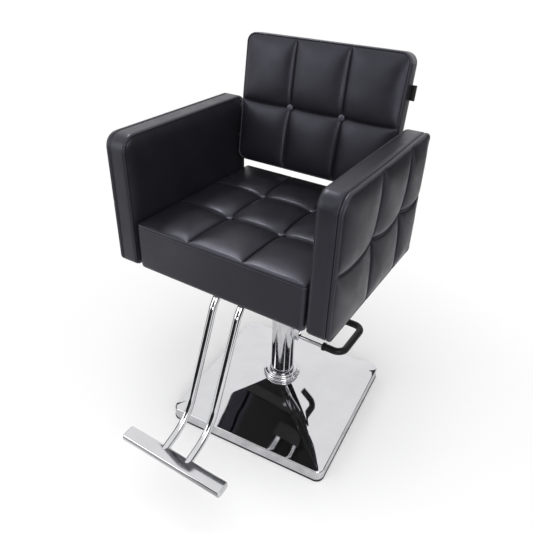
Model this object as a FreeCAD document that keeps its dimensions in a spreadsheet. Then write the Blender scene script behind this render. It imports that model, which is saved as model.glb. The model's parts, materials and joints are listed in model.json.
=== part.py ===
"""Hydraulic styling chair: square chrome base, foot-pumped column, tufted seat, arms and back.

Millimetres, +Z up. The origin lies on the floor under the column's axis, and the seat faces -Y.
The chair is drawn as photographed, with the seat pumped up to the top of its stroke.
"""
import FreeCAD, Part
import math
import os

import Sketcher

DIAGONAL = math.sqrt(0.5)  # sine and cosine of 45 degrees
ON_PLANE = 0.01  # an edge this close to a height or a corner counts as lying there

SIZES = {
    # Floor base
    "base_side": 514,
    "base_corner": 24,
    "base_turn": 4.5,
    "mat_thick": 4,
    "mat_inset": 1,
    "plate_thick": 8,
    "plate_gap": 1,
    "cover_wall": 2,
    "lip_height": 35,
    "lip_round": 5,
    "cover_rise": 68,
    "cover_top_side": 96,
    "cover_top_round": 0.42,
    "collar_radius": 60,
    "collar_height": 23,
    "collar_round": 11,
    # Pump
    "flange_radius": 72,
    "flange_thick": 10,
    "flange_bolt_circle": 56,
    "bolt_radius": 5,
    "bolt_head_radius": 9,
    "bolt_head_height": 6.5,
    "tube_radius": 36.5,
    "tube_wall": 3.5,
    "spigot_height": 10,
    "pressure_tube_bore": 20,
    "pressure_tube_wall": 2.5,
    "head_radius": 39.5,
    "head_thick": 10,
    "head_spigot": 14,
    "bush_wall": 3.5,
    "running_clearance": 0.05,
    "column_clearance": 0.5,
    # Ram, piston and swivel
    "lift_stroke": 160,
    "stop_gap": 2,
    "ram_radius": 18,
    "piston_height": 20,
    "piston_guard": 30,
    "seal_height": 4,
    "seal_depth": 1.9,
    "thrust_collar_radius": 27,
    "thrust_collar_thick": 8,
    "washer_thick": 2.7,
    "washer_gap": 0.3,
    "ram_top_gap": 0.5,
    "hub_radius": 34,
    "hub_height": 45,
    "swivel_bush_wall": 4,
    # Pedal and plunger
    "pedal_drop": 93,
    "pivot_reach": 48,
    "pin_radius": 4,
    "pin_head_radius": 6,
    "pin_head_thick": 2,
    "lever_hub_radius": 9,
    "lever_hub_width": 14,
    "lever_side_gap": 0.3,
    "cheek_thick": 4,
    "cheek_margin": 9,
    "cheek_rise": 26,
    "web_height": 12,
    "tongue_reach": 23,
    "tongue_width": 7,
    "tongue_height": 6,
    "slot_margin": 1.5,
    "pedal_rod_radius": 6.5,
    "pedal_reach": 200,
    "pedal_width": 150,
    "pedal_return": 60,
    "pedal_bend": 28,
    "sleeve_radius": 11,
    "sleeve_start": 137,
    "sleeve_collar_radius": 13,
    "sleeve_collar_length": 7,
    "sleeve_end_wall": 6,
    "plunger_offset": 28,
    "plunger_radius": 3.5,
    "plunger_length": 32,
    "plunger_gap": 0.3,
    "plunger_headroom": 9,
    "valve_gap": 11,
    "valve_height": 46,
    # Seat frame and seat
    "seat_bottom": 603,
    "seat_reach": 342,
    "seat_depth": 482,
    "seat_inner_width": 475,
    "seat_side_gap": 0.5,
    "seat_edge_height": 122,
    "seat_seam_height": 115,
    "seat_crown_height": 131,
    "seat_corner": 12,
    "seat_seam_across": 76,
    "seat_seam_front": 167,
    "seat_seam_rear": 322,
    "board_thick": 15,
    "board_inset": 20,
    "frame_plate_side": 190,
    "frame_plate_thick": 8,
    "bar_width": 40,
    "bar_thick": 6,
    "bar_offset": 70,
    "seat_bolt_grip": 10,
    "screw_radius": 3.5,
    "screw_head_radius": 7,
    "screw_head_height": 5,
    "screw_grip": 34,
    "button_radius": 8.5,
    "button_height": 7,
    "button_edge": 2.5,
    "button_shoulder": 0.8,
    "button_shoulder_rise": 0.75,
    "button_crown": 0.45,
    "button_pocket_gap": 0.5,
    # Sewn panels: the cross rows stand this much above the columns, and profiles overrun the rim
    "panel_step": 1.5,
    "panel_overrun": 3,
    # Arms
    "arm_overhang": 2.5,
    "arm_depth": 480,
    "arm_height": 333,
    "arm_padding": 22,
    "arm_core_thick": 21,
    "arm_gusset": 6,
    "arm_edge_depth": 19,
    "arm_seam_depth": 14,
    "arm_crown_depth": 24,
    "arm_seam_front": 189,
    "arm_seam_rear": 356,
    "arm_seam_rise": 164,
    "arm_round_front": 38,
    "arm_round_rear": 30,
    "arm_round_heel": 24,
    "arm_round_toe": 12,
    # Back
    "back_width": 458,
    "back_height": 341,
    "back_tilt": 8.2,
    "back_setback": 58.5,
    "back_lift": 34,
    "back_cover_depth": 34,
    "back_board_thick": 14,
    "back_gusset": 6,
    "back_edge_depth": 14,
    "back_seam_depth": 9,
    "back_crown_depth": 22,
    "back_round": 28,
    "back_seam_across": 76,
    "back_seam_rise": 167,
    "stud_radius": 4,
    "stud_shoulder_radius": 12,
    "stud_grip": 36,
    "stud_low": 60,
    "stud_high": 130,
    # Footrest
    "rest_tube_radius": 10,
    "rest_tube_wall": 2,
    "rest_tube_offset": 37,
    "rest_bend": 100,
    "rest_ankle_bend": 130,
    "rest_drop": 18,
    "rest_bracket_rear": 140,
    "rest_bracket_depth": 60,
    "rest_bracket_wall": 8,
    "rest_knee_reach": 280,
    "rest_ankle_reach": 426,
    "rest_ankle_drop": 353,
    "foot_bar_reach": 527,
    "foot_bar_drop": 386,
    "foot_bar_length": 306,
    "foot_bar_width": 40,
    "foot_bar_height": 22,
    "foot_bar_sole_round": 9,
    "foot_bar_top_round": 7,
    "foot_bar_tilt": 5,
}

doc = FreeCAD.newDocument("styling_chair")
sheet = doc.addObject("Spreadsheet::Sheet", "sizes")
for row, (alias, number) in enumerate(SIZES.items(), start=1):
    sheet.set(f"A{row}", str(number))
    sheet.setAlias(f"A{row}", alias)
doc.recompute()


class Size:
    """A size with both its number and the sheet formula that gives it."""

    def __init__(self, text, number):
        self.text = text
        self.number = number

    def __float__(self):
        return float(self.number)

    def __neg__(self):
        return Size(f"(-1 * {self.text})", -self.number)

    def __add__(self, other):
        other = size_of(other)
        return Size(f"({self.text} + {other.text})", self.number + other.number)

    def __sub__(self, other):
        other = size_of(other)
        return Size(f"({self.text} - {other.text})", self.number - other.number)

    def __mul__(self, other):
        other = size_of(other)
        return Size(f"({self.text} * {other.text})", self.number * other.number)

    def __truediv__(self, other):
        other = size_of(other)
        return Size(f"({self.text} / {other.text})", self.number / other.number)

    def __rsub__(self, other):
        return size_of(other) - self

    __radd__ = __add__
    __rmul__ = __mul__


def size_of(item):
    """A plain number as a Size; a Size as it is."""
    return item if isinstance(item, Size) else Size(str(float(item)), float(item))


def sine(angle):
    return Size(f"sin({angle.text} * 1 deg)", math.sin(math.radians(float(angle))))


def cosine(angle):
    return Size(f"cos({angle.text} * 1 deg)", math.cos(math.radians(float(angle))))


class Sheet:
    """The sheet's cells by name, each as a Size."""

    def __getattr__(self, name):
        return Size("sizes." + name, sheet.get(name))


s = Sheet()
nodes = []


def vec(x, y, z):
    return FreeCAD.Vector(float(x), float(y), float(z))


def keep(item):
    """Mark a finished sub-part, whose Label names its file."""
    nodes.append(item)
    return item


def bind(item, path, size):
    item.setExpression(path, size_of(size).text)


def place(item, at, axis=(0, 0, 1), angle=0):
    """Put an item at a bound position, turned about one axis by a bound angle."""
    turn = FreeCAD.Rotation(FreeCAD.Vector(*axis), float(angle))
    item.Placement = FreeCAD.Placement(vec(*at), turn)
    for name, size in zip("xyz", at):
        bind(item, "Placement.Base." + name, size)
    if isinstance(angle, Size):
        bind(item, "Placement.Rotation.Angle", angle)
    return item


def box(label, length, width, height, at):
    """A block from its corner with the least x, y and z."""
    item = doc.addObject("Part::Box", label)
    for name, size in (("Length", length), ("Width", width), ("Height", height)):
        bind(item, name, size)
    return place(item, at)


def rod(label, radius, height, at, axis=(0, 0, 1), angle=0):
    """A round bar from the middle of its first end."""
    item = doc.addObject("Part::Cylinder", label)
    bind(item, "Radius", radius)
    bind(item, "Height", height)
    return place(item, at, axis, angle)


def fuse(label, shapes):
    item = doc.addObject("Part::MultiFuse", label)
    item.Shapes = shapes
    return item


def cut(label, base, tools):
    item = doc.addObject("Part::Cut", label)
    item.Base = base
    item.Tool = tools[0] if len(tools) == 1 else fuse(label + "_cutters", tools)
    return item


def body_with_sketch(label, plane_role):
    body = doc.addObject("PartDesign::Body", label)
    sketch = body.newObject("Sketcher::SketchObject", label + "_sketch")
    plane = next(item for item in body.Origin.OriginFeatures if item.Role == plane_role)
    sketch.AttachmentSupport = [(plane, "")]
    sketch.MapMode = "FlatFace"
    return body, sketch


def pin_point(sketch, line, across, along):
    """Hold a geometry's first point at bound distances from the sketch's origin."""
    point = 3 if isinstance(sketch.Geometry[line], Part.Circle) else 1
    for kind, size in (("DistanceX", across), ("DistanceY", along)):
        number = sketch.addConstraint(Sketcher.Constraint(kind, -1, 1, line, point, float(size)))
        bind(sketch, f"Constraints[{number}]", size)


def outline(sketch, corners):
    """A closed polygon whose corners are all bound."""
    points = [vec(x, y, 0) for x, y in corners]
    count = len(points)
    first = sketch.GeometryCount
    for i in range(count):
        sketch.addGeometry(Part.LineSegment(points[i], points[(i + 1) % count]))
    for i in range(count):
        following = first + (i + 1) % count
        sketch.addConstraint(Sketcher.Constraint("Coincident", first + i, 2, following, 1))
    for i, (across, along) in enumerate(corners):
        pin_point(sketch, first + i, across, along)


def hole_circle(sketch, across, along, radius):
    circle = Part.Circle(vec(across, along, 0), FreeCAD.Vector(0, 0, 1), float(radius))
    number = sketch.addGeometry(circle)
    pin_point(sketch, number, across, along)
    held = sketch.addConstraint(Sketcher.Constraint("Radius", number, float(radius)))
    bind(sketch, f"Constraints[{held}]", radius)


def turned(label, profile):
    """A turned part about Z from (radius, height) corners."""
    body, sketch = body_with_sketch(label, "XZ_Plane")
    outline(sketch, profile)
    turn = body.newObject("PartDesign::Revolution", label + "_turn")
    turn.Profile = sketch
    turn.ReferenceAxis = (sketch, ["V_Axis"])
    turn.Angle = 360
    return body


def ring(label, inner, outer, bottom, top):
    return turned(label, [(inner, bottom), (outer, bottom), (outer, top), (inner, top)])


def rounded(body, feature, chosen, radius):
    """Round the chosen edges of a body's feature."""
    doc.recompute()
    names = [f"Edge{i}" for i, edge in enumerate(feature.Shape.Edges, start=1) if chosen(edge)]
    item = body.newObject("PartDesign::Fillet", f"{feature.Name}_round")
    item.Base = (feature, names)
    bind(item, "Radius", radius)
    return item


def plate(label, width, depth, thick, corner, holes=()):
    """A flat plate on z = 0 with rounded corners and round holes, centred on the origin."""
    body, sketch = body_with_sketch(label, "XY_Plane")
    half_width = width / 2
    half_depth = depth / 2
    outline(sketch, [(-half_width, -half_depth), (half_width, -half_depth),
                     (half_width, half_depth), (-half_width, half_depth)])
    for hole in holes:
        hole_circle(sketch, *hole)
    pad = body.newObject("PartDesign::Pad", label + "_pad")
    pad.Profile = sketch
    bind(pad, "Length", thick)
    reach = math.hypot(float(half_width), float(half_depth))
    rounded(body, pad, lambda edge: all(math.hypot(v.X, v.Y) > reach - ON_PLANE for v in edge.Vertexes)
            and abs(edge.Vertexes[0].Z - edge.Vertexes[-1].Z) > ON_PLANE, corner)
    return body


def hex_bolt(label, radius, length, head_radius, head_height, at, upward=True):
    """A hexagon bolt whose seat under the head lies at the given point."""
    head = doc.addObject("Part::Prism", label + "_head")
    head.Polygon = 6
    bind(head, "Circumradius", head_radius)
    bind(head, "Height", head_height)
    x, y, z = at
    place(head, (x, y, z if upward else z - head_height))
    shank = rod(label + "_shank", radius, length, (x, y, z - length if upward else z))
    return fuse(label, [head, shank])


def feature(label, shape, placement=None):
    """A sub-part whose shape is worked out here from the sheet."""
    item = doc.addObject("Part::Feature", label)
    item.Shape = shape
    if placement is not None:
        item.Placement = placement
    return item


def rounded_outline(x_low, y_low, x_high, y_high, radii, height=0):
    """A rectangle with one radius per corner, anticlockwise from the lowest x and y, as a wire."""
    corners = [(x_low, y_low, 1, 1), (x_high, y_low, -1, 1),
               (x_high, y_high, -1, -1), (x_low, y_high, 1, -1)]
    edges = []
    last = None
    slant = 1 - DIAGONAL
    for number, ((x, y, to_x, to_y), radius) in enumerate(zip(corners, radii)):
        along_x = vec(x + to_x * radius, y, height)
        along_y = vec(x, y + to_y * radius, height)
        start, end = (along_y, along_x) if number % 2 == 0 else (along_x, along_y)
        middle = vec(x + to_x * radius * slant, y + to_y * radius * slant, height)
        if last is not None:
            edges.append(Part.LineSegment(last, start).toShape())
        edges.append(Part.Arc(start, middle, end).toShape())
        last = end
    edges.append(Part.LineSegment(last, edges[0].Vertexes[0].Point).toShape())
    return Part.Wire(edges)


def slab(wire, height):
    """A flat outline raised along Z."""
    return Part.Face(wire).extrude(FreeCAD.Vector(0, 0, height))


def rounded_square(side, corner, height):
    return rounded_outline(-side / 2, -side / 2, side / 2, side / 2, [corner] * 4, height)


def panel_profile(low, high, seams, edge, seam, crown):
    """A pad's section in (across, up): flat underside and one arc from seam to seam over each panel.

    The outer arcs run on past the rim, so that the pad's sides cut through them.
    """
    stops = [low, *seams, high]
    heights = [edge] + [seam] * len(seams) + [edge]
    ends = [vec(across, up, 0) for across, up in zip(stops, heights)]
    arcs = []
    for before, after in zip(ends, ends[1:]):
        middle = vec((before.x + after.x) / 2, crown, 0)
        arcs.append((before, middle, after))
    overrun = float(s.panel_overrun)
    before, middle, after = arcs[0]
    arcs[0] = (on_circle(arcs[0], low - overrun), middle, after)
    before, middle, after = arcs[-1]
    arcs[-1] = (before, middle, on_circle(arcs[-1], high + overrun))
    first, last = arcs[0][0], arcs[-1][-1]
    corners = [last, vec(last.x, 0, 0), vec(first.x, 0, 0), first]
    edges = [Part.Arc(*points).toShape() for points in arcs]
    edges += [Part.LineSegment(a, b).toShape() for a, b in zip(corners, corners[1:])]
    return Part.Face(Part.Wire(edges))


def on_circle(points, across):
    """The upper point at a distance across, on the circle through three points."""
    circle = Part.Circle(*points)
    up = math.sqrt(circle.Radius ** 2 - (across - circle.Center.x) ** 2)
    return vec(across, circle.Center.y + up, 0)


def tufted_pad(x_range, y_range, x_seams, y_seams, edge, seam, crown, radii):
    """A pad sewn in panels: crowned between its seams and drawn in along them and round its rim."""
    x_low, x_high = x_range
    y_low, y_high = y_range
    overrun, step = float(s.panel_overrun), float(s.panel_step)
    columns = panel_profile(x_low, x_high, x_seams, edge, seam, crown)
    columns.rotate(FreeCAD.Vector(), FreeCAD.Vector(1, 0, 0), 90)
    columns.translate(vec(0, y_high + overrun, 0))
    columns = columns.extrude(vec(0, y_low - y_high - 2 * overrun, 0))
    rows = panel_profile(y_low, y_high, y_seams, edge + step, seam + step, crown + step)
    rows.rotate(FreeCAD.Vector(), FreeCAD.Vector(1, 1, 1), 120)
    rows.translate(vec(x_low - overrun, 0, 0))
    rows = rows.extrude(vec(x_high - x_low + 2 * overrun, 0, 0))
    plan = slab(rounded_outline(x_low, y_low, x_high, y_high, radii), 2 * crown)
    return plan.common(columns).common(rows)


def bent_path(points, bends):
    """Straight runs joined by tangent arcs, one radius for each corner, as a wire."""
    edges = []
    last = points[0]
    for before, corner, after, bend in zip(points, points[1:], points[2:], bends):
        arriving = (corner - before).normalize()
        leaving = (after - corner).normalize()
        turn = arriving.getAngle(leaving)
        setback = bend * math.tan(turn / 2)
        start = corner - arriving * setback
        end = corner + leaving * setback
        inward = (leaving - arriving).normalize()
        middle = corner + inward * (bend / math.cos(turn / 2) - bend)
        edges.append(Part.LineSegment(last, start).toShape())
        edges.append(Part.Arc(start, middle, end).toShape())
        last = end
    edges.append(Part.LineSegment(last, points[-1]).toShape())
    return Part.Wire(edges)


def bar_along(path, radius):
    """A round bar along a path, with its volume compared with section times length."""
    first = path.Edges[0]
    direction = first.tangentAt(first.FirstParameter)
    start = first.valueAt(first.FirstParameter)
    section = Part.Wire(Part.makeCircle(radius, start, direction))
    bar = path.makePipeShell([section], True, False)
    expected = math.pi * radius ** 2 * path.Length
    if not math.isclose(bar.Volume, expected, rel_tol=1e-3):
        raise ValueError(f"bent bar has volume {bar.Volume:.0f}, not {expected:.0f}")
    return bar


# Heights and places that several pieces share
plate_bottom = s.mat_thick
flange_bottom = plate_bottom + s.plate_thick
flange_top = flange_bottom + s.flange_thick
cover_lip_top = s.mat_thick + s.lip_height
cover_top = cover_lip_top + s.cover_rise
bar_bottom = s.seat_bottom - s.bar_thick
frame_bottom = bar_bottom - s.frame_plate_thick
hub_bottom = frame_bottom - s.hub_height
washer_bottom = hub_bottom - s.washer_gap - s.washer_thick
thrust_bottom = washer_bottom - s.thrust_collar_thick
pump_top = thrust_bottom - s.lift_stroke - s.stop_gap
head_shoulder = pump_top - s.head_thick
head_bottom = head_shoulder - s.head_spigot
pedal_height = pump_top - s.pedal_drop
tube_bore = s.tube_radius - s.tube_wall
pressure_tube_radius = s.pressure_tube_bore + s.pressure_tube_wall
bush_outer = s.ram_radius + s.running_clearance + s.bush_wall
arm_inner = s.seat_inner_width / 2
arm_core_inner = arm_inner + s.arm_padding
arm_core_outer = arm_core_inner + s.arm_core_thick
arm_core_middle = arm_core_inner + s.arm_core_thick / 2
arm_front = -(s.seat_reach + s.arm_overhang)
arm_rear = arm_front + s.arm_depth
seat_front = -s.seat_reach
seat_rear = seat_front + s.seat_depth
back_depth = s.back_cover_depth + s.back_edge_depth
back_foot_y = arm_rear - s.back_setback
back_foot_z = s.seat_bottom + s.seat_crown_height + s.back_lift
bolt_angles = [s.base_turn + 45 + 90 * quarter for quarter in range(4)]


def build_base():
    """Rubber mat, steel plate and chrome cover, all turned a little against the seat."""
    side = s.base_side - 2 * s.mat_inset
    mat = keep(plate("base_mat", side, side, s.mat_thick, s.base_corner - s.mat_inset))
    place(mat, (0, 0, 0), angle=s.base_turn)

    inset = s.cover_wall + s.plate_gap
    side = s.base_side - 2 * inset
    offset = s.flange_bolt_circle * DIAGONAL
    holes = [(x * offset, y * offset, s.bolt_radius) for x in (-1, 1) for y in (-1, 1)]
    steel = keep(plate("base_plate", side, side, s.plate_thick, s.base_corner - inset, holes))
    place(steel, (0, 0, plate_bottom), angle=s.base_turn)

    keep(feature("base_cover", cover_shell(), FreeCAD.Placement(
        FreeCAD.Vector(), FreeCAD.Rotation(FreeCAD.Vector(0, 0, 1), float(s.base_turn)))))

    inner = s.tube_radius + s.column_clearance
    collar = ring("collar", inner, s.collar_radius, cover_top, cover_top + s.collar_height)
    rounded(collar, collar.Tip, lambda edge: max(abs(v.X) for v in edge.Vertexes)
            > float(s.collar_radius) - ON_PLANE and edge.Closed, s.collar_round)
    keep(collar)


def cover_shell():
    """The pressed cover: upright lip with a rounded edge, shallow pyramid, hole for the column."""
    side, corner, wall = float(s.base_side), float(s.base_corner), float(s.cover_wall)
    top_side, top_corner = float(s.cover_top_side), float(s.cover_top_side * s.cover_top_round)
    bottom, lip, top = float(s.mat_thick), float(cover_lip_top), float(cover_top)

    def pressed(inset):
        foot = rounded_square(side - 2 * inset, corner - inset, bottom)
        rim = rounded_square(side - 2 * inset, corner - inset, lip - inset)
        crest = rounded_square(top_side - 2 * inset, top_corner - inset, top - inset)
        skirt = Part.makeLoft([foot, rim], True, True)
        return skirt.fuse(Part.makeLoft([rim, crest], True, True)).removeSplitter()

    outer = pressed(0)
    rim_edges = [edge for edge in outer.Edges if all(abs(v.Z - lip) < ON_PLANE for v in edge.Vertexes)]
    outer = outer.makeFillet(float(s.lip_round), rim_edges)
    column = Part.makeCylinder(float(s.tube_radius + s.column_clearance), top)
    return outer.cut(pressed(wall)).cut(column)


def build_pump():
    """The pump that stands on the base plate: foot, tubes, valve block, head and bush."""
    spigot_top = flange_top + s.spigot_height
    foot = turned("pump_foot_blank", [
        (0, flange_bottom), (s.flange_radius, flange_bottom), (s.flange_radius, flange_top),
        (tube_bore, flange_top), (tube_bore, spigot_top), (0, spigot_top)])
    places = [(s.flange_bolt_circle * cosine(a), s.flange_bolt_circle * sine(a)) for a in bolt_angles]
    holes = [rod(f"flange_hole_{i}", s.bolt_radius, s.flange_thick, (x, y, flange_bottom))
             for i, (x, y) in enumerate(places, start=1)]
    keep(cut("pump_foot", foot, holes))
    for i, (x, y) in enumerate(places, start=1):
        keep(hex_bolt(f"flange_bolt_{i}", s.bolt_radius, s.flange_thick + s.plate_thick,
                      s.bolt_head_radius, s.bolt_head_height, (x, y, flange_top)))

    tube = ring("pump_tube_blank", tube_bore, s.tube_radius, flange_top, head_shoulder)
    slot_width = s.tongue_width + 2 * s.slot_margin
    slot_height = 2 * s.tongue_height + 2 * s.slot_margin
    slot = box("pump_tube_slot", s.tube_radius, slot_width, slot_height,
               (s.tube_wall, -slot_width / 2, pedal_height - s.tongue_height / 2 - s.slot_margin))
    keep(cut("pump_tube", tube, [slot]))
    keep(ring("pressure_tube", s.pressure_tube_bore, pressure_tube_radius, spigot_top, head_bottom))

    valve_bottom = pedal_height + s.valve_gap
    valve_top = valve_bottom + s.valve_height
    valve = ring("valve_block_blank", pressure_tube_radius, tube_bore, valve_bottom, valve_top)
    plunger_bottom = pedal_height + s.tongue_height / 2 + s.plunger_gap
    bore_height = plunger_bottom + s.plunger_length + s.plunger_headroom - valve_bottom
    bore = rod("valve_bore", s.plunger_radius + s.running_clearance, bore_height,
               (s.plunger_offset, 0, valve_bottom))
    keep(cut("valve_block", valve, [bore]))
    keep(rod("plunger", s.plunger_radius, s.plunger_length, (s.plunger_offset, 0, plunger_bottom)))

    keep(turned("pump_head", [
        (bush_outer, head_bottom), (tube_bore, head_bottom), (tube_bore, head_shoulder),
        (s.head_radius, head_shoulder), (s.head_radius, pump_top), (bush_outer, pump_top)]))
    keep(ring("pump_bush", s.ram_radius + s.running_clearance, bush_outer, head_bottom, pump_top))


def build_lift():
    """The ram with its thrust collar, piston and seal, which rise with the seat."""
    piston_top = head_bottom - s.piston_guard
    piston_bottom = piston_top - s.piston_height
    ram_top = frame_bottom - s.ram_top_gap
    keep(turned("ram", [
        (0, piston_top), (s.ram_radius, piston_top), (s.ram_radius, thrust_bottom),
        (s.thrust_collar_radius, thrust_bottom), (s.thrust_collar_radius, washer_bottom),
        (s.ram_radius, washer_bottom), (s.ram_radius, ram_top), (0, ram_top)]))
    rim = s.pressure_tube_bore - s.running_clearance
    groove = rim - s.seal_depth
    groove_bottom = piston_bottom + (s.piston_height - s.seal_height) / 2
    groove_top = groove_bottom + s.seal_height
    keep(turned("piston", [
        (0, piston_bottom), (rim, piston_bottom), (rim, groove_bottom), (groove, groove_bottom),
        (groove, groove_top), (rim, groove_top), (rim, piston_top), (0, piston_top)]))
    keep(ring("piston_seal", groove, rim, groove_bottom, groove_top))
    keep(ring("thrust_washer", s.ram_radius + s.running_clearance, s.thrust_collar_radius,
              washer_bottom, washer_bottom + s.washer_thick))


def build_pedal():
    """Lever bracket on the column, pin, bent lever and its rubber sleeve."""
    inner = s.lever_hub_width / 2 + s.lever_side_gap
    cheek_length = s.pivot_reach + s.cheek_margin
    cheek_bottom = pedal_height - s.cheek_margin
    cheek_height = s.cheek_margin + s.cheek_rise
    cheeks = [box(f"cheek_{i}", cheek_length, s.cheek_thick, cheek_height, (0, y, cheek_bottom))
              for i, y in enumerate((inner, -inner - s.cheek_thick), start=1)]
    web_bottom = pedal_height + s.cheek_rise - s.web_height
    web = box("cheek_web", s.pivot_reach, 2 * (inner + s.cheek_thick), s.web_height,
              (0, -inner - s.cheek_thick, web_bottom))
    column = rod("cheek_column", s.tube_radius, pump_top, (0, 0, 0))
    half_pin = inner + s.cheek_thick
    pin_hole = rod("cheek_pin_hole", s.pin_radius, 2 * half_pin,
                   (s.pivot_reach, half_pin, pedal_height), (1, 0, 0), 90)
    keep(cut("lever_bracket", fuse("lever_bracket_blank", [*cheeks, web]), [column, pin_hole]))

    end = half_pin + s.pin_head_thick
    pin = turned("lever_pin", [
        (0, -end), (s.pin_head_radius, -end), (s.pin_head_radius, -half_pin), (s.pin_radius, -half_pin),
        (s.pin_radius, half_pin), (s.pin_head_radius, half_pin), (s.pin_head_radius, end), (0, end)])
    keep(place(pin, (s.pivot_reach, 0, pedal_height), (1, 0, 0), 90))

    rod_bar, sleeve = lever_shapes()
    lever_rod = feature("lever_rod", rod_bar)
    hub = rod("lever_hub", s.lever_hub_radius, s.lever_hub_width,
              (s.pivot_reach, s.lever_hub_width / 2, pedal_height), (1, 0, 0), 90)
    tongue = box("lever_tongue", s.tongue_reach, s.tongue_width, s.tongue_height,
                 (s.pivot_reach - s.tongue_reach, -s.tongue_width / 2, pedal_height - s.tongue_height / 2))
    bore = rod("lever_bore", s.pin_radius + s.running_clearance, s.lever_hub_width,
               (s.pivot_reach, s.lever_hub_width / 2, pedal_height), (1, 0, 0), 90)
    keep(cut("pedal_lever", fuse("pedal_lever_blank", [hub, tongue, lever_rod]), [bore]))
    keep(feature("pedal_sleeve", sleeve))


def lever_shapes():
    """The lever's bent rod, and the sleeve from its end collar to its closed tip."""
    height = float(pedal_height)
    reach, width, back = float(s.pedal_reach), float(s.pedal_width), float(s.pedal_return)
    radius, bend, start = float(s.pedal_rod_radius), float(s.pedal_bend), float(s.sleeve_start)

    def path(first, last):
        corners = [(first, 0), (reach, 0), (reach, width), (last, width)]
        return bent_path([vec(x, y, height) for x, y in corners], [bend] * (len(corners) - 2))

    tip = reach - back
    rod_bar = bar_along(path(float(s.pivot_reach), tip), radius)
    sleeve = bar_along(path(start, tip - float(s.sleeve_end_wall)), float(s.sleeve_radius))
    collar = Part.makeCylinder(float(s.sleeve_collar_radius), float(s.sleeve_collar_length),
                               vec(start, 0, height), FreeCAD.Vector(1, 0, 0))
    return rod_bar, sleeve.fuse(collar).removeSplitter().cut(rod_bar)


def build_swivel_frame():
    """Hub and bush that turn on the ram, and the welded frame under the seat with its fasteners."""
    bush = s.ram_radius + s.running_clearance
    hub_bore = bush + s.swivel_bush_wall
    keep(ring("hub", hub_bore, s.hub_radius, hub_bottom, frame_bottom))
    keep(ring("swivel_bush", bush, hub_bore, hub_bottom, frame_bottom))

    half = s.frame_plate_side / 2
    plate_block = box("frame_plate", s.frame_plate_side, s.frame_plate_side, s.frame_plate_thick,
                      (-half, -half, frame_bottom))
    bars = [box(f"frame_bar_{i}", 2 * arm_core_outer, s.bar_width, s.bar_thick,
                (-arm_core_outer, y - s.bar_width / 2, bar_bottom))
            for i, y in enumerate((-s.bar_offset, s.bar_offset), start=1)]
    bolt_places = [(x * s.bar_offset, y * s.bar_offset) for x in (-1, 1) for y in (-1, 1)]
    screw_places = [(x * arm_core_middle, y * s.bar_offset) for x in (-1, 1) for y in (-1, 1)]
    frame_thick = s.frame_plate_thick + s.bar_thick
    holes = [rod(f"frame_hole_{i}", s.bolt_radius, frame_thick, (x, y, frame_bottom))
             for i, (x, y) in enumerate(bolt_places, start=1)]
    holes += [rod(f"frame_screw_hole_{i}", s.screw_radius, s.bar_thick, (x, y, bar_bottom))
              for i, (x, y) in enumerate(screw_places, start=1)]
    keep(cut("seat_frame", fuse("seat_frame_blank", [plate_block, *bars]), holes))
    for i, (x, y) in enumerate(bolt_places, start=1):
        keep(hex_bolt(f"seat_bolt_{i}", s.bolt_radius, frame_thick + s.seat_bolt_grip, s.bolt_head_radius,
                      s.bolt_head_height, (x, y, frame_bottom), upward=False))
    for i, (x, y) in enumerate(screw_places, start=1):
        keep(hex_bolt(f"arm_screw_{i}", s.screw_radius, s.bar_thick + s.screw_grip, s.screw_head_radius,
                      s.screw_head_height, (x, y, bar_bottom), upward=False))
    return bolt_places, screw_places


def build_seat(bolt_places):
    """Board and tufted cushion of the seat, with its covered buttons."""
    half = arm_inner - s.seat_side_gap
    board_half = half - s.board_inset
    board_depth = s.seat_depth - 2 * s.board_inset
    board = box("seat_board_blank", 2 * board_half, board_depth, s.board_thick,
                (-board_half, seat_front + s.board_inset, s.seat_bottom))
    holes = [rod(f"board_hole_{i}", s.bolt_radius, s.seat_bolt_grip, (x, y, s.seat_bottom))
             for i, (x, y) in enumerate(bolt_places, start=1)]
    keep(cut("seat_board", board, holes))

    x_seams = [-float(s.seat_seam_across), float(s.seat_seam_across)]
    y_seams = [float(seat_front + s.seat_seam_front), float(seat_front + s.seat_seam_rear)]
    cushion = tufted_pad((-float(half), float(half)), (float(seat_front), float(seat_rear)),
                         x_seams, y_seams, float(s.seat_edge_height), float(s.seat_seam_height),
                         float(s.seat_crown_height), [float(s.seat_corner)] * 4)
    pocket = Part.makeBox(float(2 * board_half), float(board_depth), float(s.board_thick),
                          vec(-board_half, seat_front + s.board_inset, 0))
    wells = [button_well(x, y, s.seat_seam_height, s.seat_crown_height) for x in x_seams for y in y_seams]
    keep(feature("seat_cushion", cushion.cut([pocket, *wells]), FreeCAD.Placement(
        vec(0, 0, s.seat_bottom), FreeCAD.Rotation())))
    number = 0
    for across in (-s.seat_seam_across, s.seat_seam_across):
        for along in (s.seat_seam_front, s.seat_seam_rear):
            number += 1
            place(button(f"seat_button_{number}"),
                  (across, seat_front + along, s.seat_bottom + s.seat_seam_height))


def button_well(x, y, seam, crown):
    """The hollow that a covered button draws into a pad at a seam crossing."""
    radius = float(s.button_radius + s.button_pocket_gap)
    return Part.makeCylinder(radius, float(crown - seam) * 2, vec(x, y, seam))


def button(label):
    """A covered button with a domed top, from its flat underside."""
    shoulder_height = s.button_edge + (s.button_height - s.button_edge) * s.button_shoulder_rise
    return keep(turned(label, [
        (0, 0), (s.button_radius, 0), (s.button_radius, s.button_edge),
        (s.button_radius * s.button_shoulder, shoulder_height),
        (s.button_radius * s.button_crown, s.button_height), (0, s.button_height)]))


def back_frame():
    """The back's own frame: X across, Y up along the back, Z forward out of its rear face."""
    y = back_foot_y + back_depth * cosine(s.back_tilt)
    z = back_foot_z - back_depth * sine(s.back_tilt)
    return (0, y, z), 90 - s.back_tilt


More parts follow.
